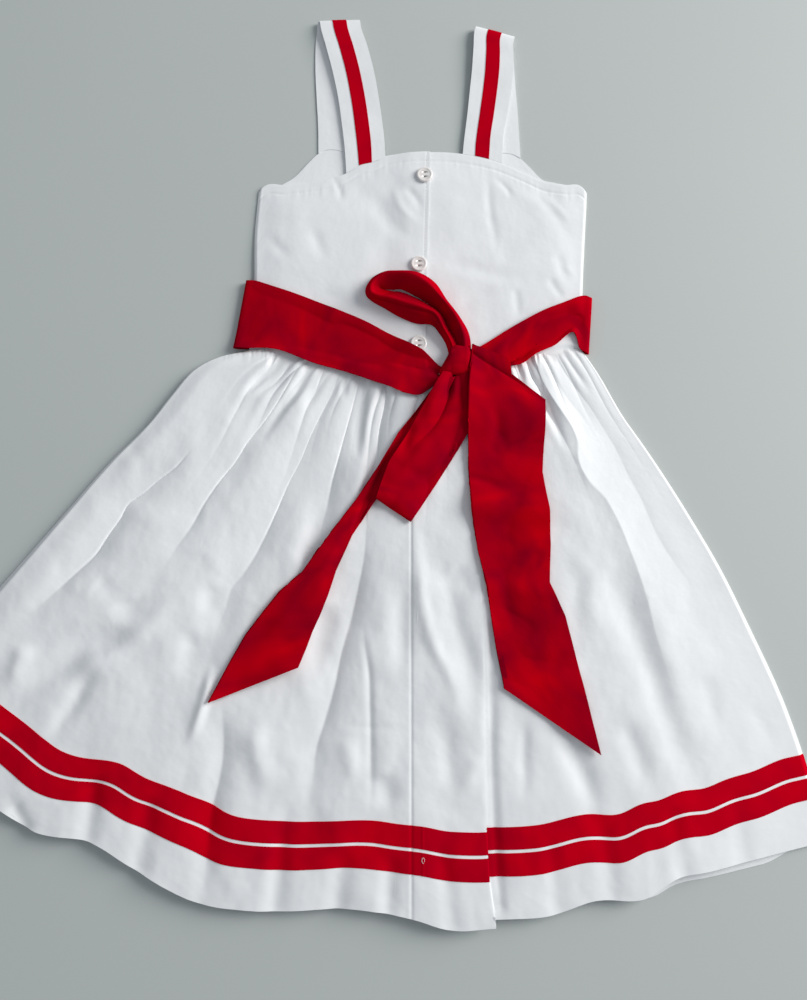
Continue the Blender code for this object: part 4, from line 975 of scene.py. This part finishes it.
button_floor = [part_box("button_%d" % n)[0][2] / MM for n in (1, 2, 3)]
for number, cx, cy, floor in zip((1, 2, 3), BUTTONS["x"], BUTTONS["y"], button_floor):
    points = []
    for share, z in BUTTON_PROFILE:
        points += [(px + cx, py + cy, floor + z) for px, py in circle(BUTTON_RADIUS * share, AROUND)]
    faces = tube_faces(len(BUTTON_PROFILE), AROUND)
    low_holes = len(points)
    top_holes = low_holes + 2 * AROUND_HOLE
    for z in (BUTTON_PROFILE[0][1], BUTTON_PROFILE[-1][1]):
        for hole in BUTTON_HOLES:
            ring = circle(BUTTON_HOLE, AROUND_HOLE, *hole)
            points += [(px + cx, py + cy, floor + z) for px, py in ring]
    for h in (0, AROUND_HOLE):
        for n in range(AROUND_HOLE):
            a, b = low_holes + h + n, low_holes + h + (n + 1) % AROUND_HOLE
            faces.append((b, a, a + 2 * AROUND_HOLE, b + 2 * AROUND_HOLE))
    for outer, holes in ((0, low_holes), ((len(BUTTON_PROFILE) - 1) * AROUND, top_holes)):
        loops = [list(range(outer, outer + AROUND))]
        loops += [list(range(holes + h, holes + h + AROUND_HOLE)) for h in (0, AROUND_HOLE)]
        flat = [i for loop in loops for i in loop]
        for triangle in tessellate_polygon([[points[i] for i in loop] for loop in loops]):
            faces.append(tuple(flat[i] for i in triangle))
    button = make_mesh("button %d" % number, points, faces, pearl)
    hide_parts("button_%d" % number)
    for n, shift in enumerate((-0.36, 0.0, 0.36)):
        path = [
            (cx + shift, cy + 2.4, floor + 1.2), (cx + shift, cy + 1.2, floor + 2.1),
            (cx + shift * 0.8, cy, floor + 2.25), (cx + shift, cy - 1.2, floor + 2.1),
            (cx + shift, cy - 2.4, floor + 1.2),
        ]
        stitches(
            "button thread %d %d" % (number, n + 1), path, white_thread,
            length=4.6, gap=0.2, wide=0.5, high=0.25,
        )

# Sash
# One long band of soft red cotton, 60 mm wide with its edges turned in. It goes behind the
# dress, round both sides and over the waist seam to the knot, and is tied in a bow.
# The dark red, about a third of the light one, is painted shade: its broad patches stand in for the shade in
# the sash's creases and folds
red_sash = cloth_material(
    "red sash cotton", (0.64, 0.0, 0.006, 1), (0.2, 0.0, 0.012, 1),
    threads=2000.0, rough=0.7, sheen=0.03, shine=0.0, crumple=0.0014,
)
SASH_THICK = 0.8
SASH_FRONT_LEFT = table(
    "top_x top_y low_x low_y crease",
    (-145, 65.8, -150, 2.2, 0.2), (-129, 60.4, -138, 2.4, 0.5), (-113, 54.7, -125, 1.4, 0.9),
    (-82, 42.2, -93, -10.4, 1.2), (-47.4, 27.7, -63, -19, 1.2), (-20, 12.6, -38, -28.5, 1.1),
    (-6, 5.6, -24, -33.5, 1.0), (5, -0.5, -9, -39.6, 0.8), (14, -8.4, 3, -40.6, 0.6),
    (20, -14, 15, -32, 0.4), (26, -17, 24, -24, 0.2),
)
SASH_FRONT_RIGHT = table(
    "top_x top_y low_x low_y crease",
    (150, 51.6, 143.4, 2.4, 0.0), (143, 50, 141, 10, 0.6), (135, 46.5, 138.5, 16, 1.0),
    (111.4, 36.8, 120, 4.6, 1.1), (96, 28.4, 105, -3.8, 1.1), (80, 19.1, 90, -14, 0.9),
    (60, 6.4, 68, -15.5, 0.6), (44, -2, 44, -17, 0.2),
)
LAID = [
    np.array([(px + bx, py + by, floor + BUTTON_HEIGHT) for px, py in circle(BUTTON_RADIUS, 20)])
    for bx, by, floor in zip(BUTTONS["x"], BUTTONS["y"], button_floor)
]


def dress_top(x, y):
    # Height of the dress under the sash: the skirt below the waist, the bodice above it
    base = near_lift(x, y) + NEAR_FACE
    left, right = (np.interp(y, edge["y"][::-1], edge["x"][::-1]) for edge in (SKIRT_LEFT, SKIRT_RIGHT))
    skirt = base + skirt_rise(x, y, (x - left) / (right - left))
    bodice = base + bodice_rise(x, y) + placket_lift(x, y) * (x < side("placket_x")(y) + 1.0)
    return np.where(y < by_x(WAIST, x), skirt, bodice)


MAP_STEP = 1.5
map_x, map_y = np.arange(-250.0, 200.0, MAP_STEP), np.arange(-400.0, 200.0, MAP_STEP)
dress_map = dress_top(*np.meshgrid(map_x, map_y))


def dress_height(x, y):
    # Height of the dress read from an even map of it
    column = np.clip((x - map_x[0]) / MAP_STEP, 0.0, len(map_x) - 1.001)
    row = np.clip((y - map_y[0]) / MAP_STEP, 0.0, len(map_y) - 1.001)
    c, r = column.astype(int), row.astype(int)
    s, t = column - c, row - r
    near = dress_map[r, c] * (1 - s) + dress_map[r, c + 1] * s
    return near * (1 - t) + (dress_map[r + 1, c] * (1 - s) + dress_map[r + 1, c + 1] * s) * t


def rest_height(x, y, reach, near=4.0, slope=0.3):
    # Where stiff cloth comes to rest: on the highest cloth within its reach, and on all that
    # has been laid before it, from which it slopes away
    x, y = np.atleast_1d(x), np.atleast_1d(y)
    best = dress_height(x, y)
    for ring in (0.5, 1.0):
        for turn in np.linspace(0.0, 2.0 * np.pi, 9)[:-1]:
            beside = dress_height(x + ring * reach * np.cos(turn), y + ring * reach * np.sin(turn))
            best = np.maximum(best, beside)
    for points in LAID:
        far = np.hypot(x[..., None] - points[:, 0], y[..., None] - points[:, 1])
        drape = points[:, 2] - slope * np.maximum(far - near, 0.0)
        best = np.maximum(best, drape.max(-1))
    return best


def note_laid(grid):
    # Later pieces of the sash come to rest on this one too
    fine = refine(grid, len(grid) * 3 - 2, grid.shape[1] * 3 - 2)
    LAID.append(fine.reshape(-1, 3))


def front_rows(front, columns, turned):
    # Rows of the sash across the front, from its top edge to its low one
    shares = np.linspace(0.0, 1.0, columns)
    rows = []
    for k, bend in enumerate(front["crease"]):
        x, y = (mark(front, "top", k) * (1 - shares[:, None]) + mark(front, "low", k) * shares[:, None]).T
        wave = bend * np.cos(2.0 * np.pi * shares * turned + 0.4)
        z = rest_height(x, y, 9.0) + SEAM + 0.5 * WALL + 0.5 + bend + wave
        rows.append(np.stack([x, y, z], -1))
    return rows


columns = 6
left = front_rows(SASH_FRONT_LEFT, columns, 1.0)[::-1]
right = front_rows(SASH_FRONT_RIGHT, columns, -1.0)
shares = np.linspace(0.0, 1.0, columns)[:, None]
back_z = np.full((columns, 1), 0.5 * WALL)


def between(top, low):
    return np.array(top) * (1 - shares) + np.array(low) * shares


def sash_turn(front, outer, back):
    # From the last row of the front, round its folded end, to the row behind the dress
    rows = []
    for angle in np.linspace(0.0, np.pi, 6)[1:]:
        share = (1.0 - math.cos(angle)) / 2.0
        start = front[:, :2] * (1 - share) + back * share
        flat = start + (outer - start) * math.sin(angle)
        z = (front[:, 2:3] + back_z) / 2.0 + (front[:, 2:3] - back_z) / 2.0 * math.cos(angle)
        rows.append(np.concatenate([flat, z], 1))
    return rows


left_back, right_back = between((-147.0, 66.0), (-152.0, 3.8)), between((149.0, 50.2), (148.0, -0.4))
rows = left + sash_turn(left[-1], between((-152.5, 66.4), (-162.0, 3.6)), left_back)
for share in (0.25, 0.5, 0.75):
    rows.append(np.concatenate([left_back * (1 - share) + right_back * share, back_z], 1))
rows += sash_turn(right[0], between((156.0, 49.7), (151.2, -2.0)), right_back)[::-1] + right
for front in (left, right):
    note_laid(np.array(front) + (0.0, 0.0, 0.5 * WALL))
SASH_FOLDS = (
    # depth, width, lean, slot, share left at the start and end, marks along the fold
    (2.1, 7, 1, 0.5, 0.3, 1, (-132, 51), (-108, 36), (-82, 21), (-60, 10), (-40, 1), (-11, -7), (20, -16)),
    (1.4, 6, -1, 0, 0.3, 0.6, (-138, 4), (-116, 4), (-94, 2), (-72, -2), (-53, -6), (-32, -10), (-13, -14),
     (20, -21)),
    (-1, 7, 0, 0, 0, 0.4, (-112, 26), (-76, 11), (-39, -5), (-6, -14)),
    (0.9, 4, 0, 0, 0, 0, (-76, 29), (-46, 13), (-19, 0)),
    (0.8, 5, 0, 0, 0, 0, (-102, -5), (-76, -14), (-45, -24)),
    (0.9, 5, 0, 0, 0, 0, (-19, -34), (-2, -31), (13, -22)),
    (3, 4, -1, 2, 1, 1, (84, -11), (103, 3), (118, 12), (132, 22), (141, 29)),
    (1.4, 3, 0, 0.5, 0.4, 1, (139, 27), (148, 16), (151, 5)),
    (1, 6, 0, 0, 0, 0, (140, 46), (130, 35), (108, 23)),
    (0.8, 6, 0, 0, 0, 0, (73, 5), (95, 15), (117, 26)),
    (-1.2, 7, 0, 0, 1, 1, (-12, -14), (0, -18), (12, -21)),
)


def crease(grid, folds, ripple, seed):
    # Pressed-in folds and a faint ripple on the faces that lie up, clear of what is below
    x, y = grid[..., 0], grid[..., 1]
    lift, back_x, back_y = soft_folds(x, y, folds)
    lift = 1.6 * lift + ripple * noise(x / 9.0, y / 9.0, seed)
    lift = lift + 2.2 * ripple * noise(x / 24.0, y / 21.0, seed + 1)
    up = abs(grid_normals(grid)[..., 2]) * (grid[..., 2] > 2.5)
    made = grid + np.stack([back_x * up, back_y * up, lift * up], -1)
    least = np.minimum(dress_height(made[..., 0], made[..., 1]) + 1.2, grid[..., 2])
    made[..., 2] = np.where(up > 0.3, np.maximum(made[..., 2], least), made[..., 2])
    made[..., 2] = np.maximum(made[..., 2], 0.55)
    return made


middle = crease(refine(np.array(rows), 390, 42), SASH_FOLDS, ripple=0.22, seed=31)
sash = band("sash round the waist", middle, red_sash, thick=SASH_THICK)
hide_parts("sash_band")

# Left tail of the bow
# One end of the sash, cut slantwise. It comes out under the knot and lies down the skirt,
# still folded double at first.
TAIL_EDGE = 1.6
LEFT_TAIL = table(
    "left_x left_y right_x right_y under",
    (18.6, -27.5, 33, -25.5, 11), (11.4, -38, 27, -38, 12), (-2.1, -56.2, 14, -60, 16),
    (-16.4, -74.4, 0, -82, 17), (-34.1, -104.5, -19, -111, 15), (-52.2, -132.5, -38, -137, 13),
    (-74.7, -162.5, -55, -163, 14), (-97, -194.2, -68, -193, 14), (-114.5, -210, -74, -213, 9),
    (-127.6, -226.7, -80.5, -230, 6),
    (-142, -246, -86.5, -243, 4), (-154, -268, -91.5, -257, 4), (-170, -300, -97.5, -272, 4),
)


def tail_rows(tail, columns):
    # Rows across a tail: its turned-under edge, the fold and the layer on top
    shares = np.linspace(0.0, 1.0, columns)
    rows = []
    for k in range(len(tail["left_x"])):
        start, end = mark(tail, "left", k), mark(tail, "right", k)
        wide = np.linalg.norm(end - start)
        step = (end - start) / wide
        under = min(tail["under"][k], wide * 0.8)
        reach = TAIL_EDGE + shares * (wide - TAIL_EDGE)
        flat = start + step * reach[:, None]
        base = rest_height(flat[:, 0], flat[:, 1], 8.0)
        base = np.maximum(base, base.mean()) + SEAM + 0.4
        low, lap = base[0] + 0.5 * WALL, WALL + SEAM + 0.3
        row = []
        for at in (TAIL_EDGE + under, TAIL_EDGE + under * 0.5):
            row.append((*(start + step * at), np.interp(at, reach, base) + 0.5 * WALL))
        for angle in (0.0, 0.25, 0.5, 0.75):
            place = start + step * (TAIL_EDGE - 1.1 * math.sin(math.pi * angle))
            row.append((*place, low + lap * (1.0 - math.cos(math.pi * angle)) / 2.0))
        rows.append(row + np.column_stack([flat, base + 0.5 * WALL + lap]).tolist())
    return np.array(rows)


LEFT_TAIL_FOLDS = (
    # depth, width, lean, slot, share left at the start and end, marks along the fold
    (2, 3, 0.4, 1.2, 1, 1, (11, -39), (-8, -67), (-22, -91), (-34, -115), (-44, -137), (-52, -157)),
    (1.4, 7, 0, 0, 0.6, 0, (-55, -163), (-69, -192), (-83, -217)),
    (-0.8, 8, 0, 0, 0, 0, (-98, -217), (-122, -250), (-146, -282)),
    (0.9, 8, 0, 0, 0, 0, (-81, -234), (-97, -250), (-113, -272)),
    (-2.4, 20, 0, 0, 0, 1, (-58, -158), (-68, -180), (-86, -225), (-108, -285)),
)
coarse = tail_rows(LEFT_TAIL, columns)
note_laid(coarse[:, -columns:] + (0.0, 0.0, 0.5 * WALL))
middle = refine(coarse, 230, 52, plan_straight=True)
middle = crease(middle, LEFT_TAIL_FOLDS, ripple=0.2, seed=41)
left_tail = band("left tail", middle, red_sash, thick=SASH_THICK)
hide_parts("tail_left")

# Lower loop of the bow
# A flat loop of the sash pulled down from the knot: one layer down, a fold at the end
# and one layer back underneath, with the knot's gathers running into it.
LOWER_LOOP = table(
    "left_x left_y right_x right_y lift",
    (22, -21.9, 46.5, -21.9, 0.0), (15.5, -33, 48.5, -36, 0.8), (4, -54, 50, -56, 1.4),
    (-9, -77, 44, -74, 1.7), (-24, -101, 29, -99, 1.4), (-31, -120, 15, -121, 0.9),
    (-34.7, -131.5, -5, -151, 0.4),
)
layers = []
for k, lift in enumerate(LOWER_LOOP["lift"]):
    flat = between(mark(LOWER_LOOP, "left", k), mark(LOWER_LOOP, "right", k))
    base = rest_height(flat[:, 0], flat[:, 1], 9.0) + SEAM + 0.3 + 0.5 * WALL
    layers.append((flat, base, lift))
lap = WALL + SEAM + 0.1
rows = []
for flat, base, lift in layers:
    z = base + lap + lift + lift * np.sin(np.pi * shares[:, 0]) ** 2
    rows.append(np.concatenate([flat, z[:, None]], 1))
note_laid(np.array(rows) + (0.0, 0.0, 0.5 * WALL))
flat, base, lift = layers[-1]
ahead = flat - layers[-2][0]
ahead = ahead / np.linalg.norm(ahead, axis=1, keepdims=True)
for angle in (0.2, 0.5, 0.8):
    z = base + (lap + lift) * (1.0 + math.cos(math.pi * angle)) / 2.0
    rows.append(np.concatenate([flat + ahead * 1.2 * math.sin(math.pi * angle), z[:, None]], 1))
for flat, base, lift in layers[::-1]:
    rows.append(np.concatenate([flat, base[:, None]], 1))
LOWER_LOOP_FOLDS = (
    # depth, width, lean, slot, share left at the start and end, marks along the fold
    (2.4, 3, 0.6, 1, 1, 0, (33, -23), (29, -30), (27, -38), (22, -50)),
    (-1.6, 6, 0, 0, 0.6, 0, (25, -24), (18, -38), (11, -56), (6, -74)),
    (1.8, 4, 0, 0.5, 1, 0, (37, -25), (38, -38), (36, -56)),
    (1.6, 5, 0, 0, 0, 0, (-3, -64), (-8, -78), (-13, -92), (-17, -100)),
    (1, 6, 0, 0, 0, 0, (-12, -107), (6, -114), (23, -111)),
    (1.1, 3, -0.6, 0.3, 0.4, 1, (41, -72), (28, -97), (12, -126), (2, -147)),
    (2.8, 6, 0.8, 0.6, 1, 0.2, (31, -28), (26, -47), (17, -66), (-2, -87), (-15, -103)),
    (2.4, 6, 0.8, 0, 0.5, 0.6, (37, -64), (28, -92), (16, -117), (4, -137)),
)
middle = refine(np.array(rows), 260, 44, plan_straight=True)
middle = crease(middle, LOWER_LOOP_FOLDS, ripple=0.2, seed=51)
lower_loop = band("lower loop of the bow", middle, red_sash, thick=SASH_THICK)
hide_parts("bow_loop_lower")

# Right tail of the bow
# The other end of the sash, cut slantwise too. It is turned once just below the knot and
# lies down the skirt on top of the rest.
RIGHT_TAIL = table(
    "left_x left_y right_x right_y under",
    (47.9, 5, 80.6, -8.2, 4), (46.2, -10, 81.8, -22.5, 4), (44.2, -32, 110.8, -45, 4),
    (42.8, -64, 109.2, -73.8, 4), (43, -105, 106, -109, 4), (45, -141.7, 110.8, -141.7, 4),
    (50, -176, 111.2, -171, 4), (57, -205.5, 109.4, -203, 4), (60, -230, 121.5, -230, 4),
    (64, -258, 131, -270, 4), (70.3, -289, 147.3, -341.4, 4),
)
RIGHT_TAIL_FOLDS = (
    # depth, width, lean, slot, share left at the start and end, marks along the fold
    (2.2, 7, 1, 0.5, 1, 1, (48, -3), (63, -14), (89, -31), (110, -46)),
    (1.6, 14, 0, 0, 1, 1, (42, -81), (75, -86), (109, -91)),
    (-2.6, 13, 0, 0, 1, 1, (43, -136), (74, -139), (110, -143)),
    (1.6, 15, 0.8, 0, 0.6, 0.4, (84, -138), (79, -150), (73, -180), (73, -209), (77, -240), (81, -268),
     (100, -305)),
    (-1.2, 10, 0, 0, 1, 1, (56, -205), (81, -209), (118, -212)),
    (1.3, 8, 0, 0, 0, 0.4, (60, -227), (78, -235), (101, -245)),
    (1, 10, 0, 0, 1, 1, (67, -274), (100, -272), (133, -269)),
    (1, 5, 0, 0, 0, 0, (67, -45), (69, -72), (72, -103)),
    (0.8, 4, 0, 0, 0.6, 0, (46, -114), (62, -119), (75, -122)),
)
middle = refine(tail_rows(RIGHT_TAIL, columns), 250, 54, plan_straight=True)
middle = crease(middle, RIGHT_TAIL_FOLDS, ripple=0.2, seed=61)
right_tail = band("right tail", middle, red_sash, thick=SASH_THICK)
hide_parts("tail_right")

# Upper loop of the bow
# The sash stands on its edge here, runs up to the left and back again, and leans in so
# that it stays open and the white bodice shows through the gap.
UPPER_LOOP = table(
    "foot_x foot_y rim_x rim_y rise",
    (46.5, -6, 41, -6, 4), (47, 4, 40, 5, 6), (45, 17.5, 37, 15.5, 10), (37.5, 31, 30, 29.5, 13),
    (26, 47, 19, 43, 15), (15, 62.5, 7, 55, 15), (0, 71.5, -6, 62.5, 14), (-16, 73.6, -20, 65.5, 13),
    (-30, 73, -30, 64.5, 12), (-40, 67, -36, 61, 11), (-44.5, 59.5, -39, 57, 10), (-45, 53, -39, 51, 10),
    (-39.5, 46, -33.5, 47.5, 11), (-29, 39.5, -24, 46.5, 12), (-14.5, 30.5, -10, 42.5, 13),
    (0, 24.6, 5, 38.5, 13), (12.5, 23.4, 16.5, 32, 12), (19.5, 16, 24, 19, 9), (25.5, 5, 31, 6.5, 7),
    (29, -6, 35, -6, 4.5),
)
count = len(UPPER_LOOP["foot_x"])
feet, rims = (mark(UPPER_LOOP, edge, slice(None)).T for edge in ("foot", "rim"))
heart = (rims + rims[::-1]) / 2.0
heart[7:13] += (6.0, -1.5)
rows = []
for k in range(count):
    floor = rest_height(feet[k][0], feet[k][1], 6.0, near=1.5, slope=0.8)[0] + SEAM + 0.6
    rise = UPPER_LOOP["rise"][k]
    closed = 0.9 + 0.1 * smooth(abs(2.0 * k / (count - 1) - 1.0) * 3.0 - 1.4)
    inner = rims[k] + (heart[k] - rims[k]) * closed
    middle = rims[k] + (heart[k] - rims[k]) * 0.35
    rows.append([
        (*feet[k], floor), (*(feet[k] * 0.62 + rims[k] * 0.38), floor + rise * 0.55),
        (*(feet[k] * 0.25 + rims[k] * 0.75), floor + rise * 0.97), (*middle, floor + rise * 0.6),
        (*inner, floor + rise * 0.08),
    ])
middle = refine(np.array(rows), 240, 40)
length = np.linspace(0.0, 1.0, 240)[:, None]
width = np.linspace(0.0, 1.0, 40)[None, :]
ripple = 0.45 * noise(length * 16.0, width * 4.0, 71) + 0.7 * noise(length * 6.0, width * 2.6, 72)
lower_half = smooth((length - 0.52) / 0.1)
for height, place, wide, half in (
    (-1.7, 0.36 + 0.05 * np.sin(9.0 * length), 0.045, lower_half),
    (-1.1, 0.62 - 0.08 * np.sin(7.0 * length), 0.05, lower_half),
    (0.9, 0.5, 0.06, lower_half),
    (-0.9, 0.3 + 0.1 * length, 0.05, 1.0 - lower_half),
):
    ripple = ripple + height * bell(width - place, wide) * half
ripple = ripple * smooth(length / 0.06) * smooth((1 - length) / 0.06)
middle = middle + grid_normals(middle) * ripple[..., None]
upper_loop = band("upper loop of the bow", middle, red_sash, thick=SASH_THICK)
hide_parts("bow_loop_upper")

# Knot
# The sash crossed over itself once and pulled tight. A short stretch wraps the rest,
# flat on top, with small creases where it turns under.
KNOT = table(
    "x low high thick",
    (19.4, -22.4, -18.4, 3.4), (21, -23, -15.4, 5.2), (24, -23.3, -10.4, 7), (27, -23.4, -4.4, 8.2),
    (29, -23.4, 1.4, 8.8), (31.5, -23.4, 2.9, 9.4), (40, -23.4, 2.6, 9.4), (45, -23.2, 1.9, 8.2),
    (47.8, -22.4, 0.6, 5.2),
)
KNOT_FOLDS = (
    # depth, width, lean, slot, share left at the start and end, marks along the fold
    (1.1, 1.2, 0, 0, 0, 1, (28, -4), (35, -2), (47, -1)),
    (0.7, 1.5, 0, 0, 1, 0, (20, -19), (31, -15), (46, -14)),
)
around, stations = 72, 60
turn = 2.0 * np.pi * np.arange(around) / around
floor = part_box("sash_knot")[0][2] / MM
at = np.linspace(KNOT["x"][0], KNOT["x"][-1], stations)
low, high, thick = (through(KNOT["x"], KNOT[k], at) for k in ("low", "high", "thick"))
points = []
for k in range(stations):
    wave = 1.0 + 0.05 * np.cos(3.0 * turn + 0.1 * k) + 0.03 * noise(turn * 2.2, turn * 0 + k * 0.08, 81)
    x = np.full(around, at[k])
    y = (high[k] - low[k]) / 2.0 * np.sign(np.cos(turn)) * abs(np.cos(turn)) ** 0.8
    y = (low[k] + high[k]) / 2.0 + y
    z = floor + thick[k] * (0.5 + 0.5 * np.sin(turn) * wave)
    z = z + soft_folds(x, y, KNOT_FOLDS)[0] * (np.sin(turn) > 0.2)
    points += list(zip(x, y, z))
faces = tube_faces(stations, around)
faces.append(tuple(range(around))[::-1])
faces.append(tuple((stations - 1) * around + n for n in range(around)))
uv = np.array(points)[:, :2]
knot = make_mesh("knot of the sash", points, faces, red_sash, uv)
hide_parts("sash_knot")

# Table top, light and camera
# A plain pale table, a large soft light from the upper right, and the view from nearly
# straight above that the photo has.
floor_material, tree, shader, cloth = material("pale table")
grain = cloth.node("ShaderNodeTexCoord", out=3).cloud(3.0, 2.0)
feed(tree, shader, "Base Color", grain.blend((0.53, 0.565, 0.55, 1), (0.555, 0.59, 0.575, 1)))
shader.inputs["Roughness"].default_value = 0.6
bpy.ops.mesh.primitive_plane_add(size=8.0, location=(0.0, 0.0, -0.0003))
table_top = bpy.context.object
table_top.name = "table top"
table_top.data.materials.append(floor_material)
light = bpy.data.lights.new("window light", "AREA")
light.size = 2.0
light.energy = 152.0
light.color = (1.0, 0.985, 0.965)
lamp = bpy.data.objects.new("window light", light)
bpy.context.collection.objects.link(lamp)
lamp.location = (3.15, 1.15, 1.66)
lamp.rotation_euler = (-lamp.location).to_track_quat("-Z", "Y").to_euler()
room = bpy.data.worlds.new("room")
bpy.context.scene.world = room
room.use_nodes = True
sky = room.node_tree.nodes["Background"]
sky.inputs["Color"].default_value = (0.86, 0.93, 1.0, 1.0)
sky.inputs["Strength"].default_value = 0.35
lens = bpy.data.cameras.new("camera")
lens.sensor_width = 36.0
lens.lens = 29.52
lens.clip_start = 0.02
camera = bpy.data.objects.new("camera", lens)
bpy.context.collection.objects.link(camera)
camera.location = ((ORIGIN_X - 11.9) * MM, (ORIGIN_Y - 241.6) * MM, 0.6965)
camera.rotation_euler = (math.radians(9.0), 0.0, 0.0)
bpy.context.scene.camera = camera
bpy.context.scene.view_settings.view_transform = "Standard"
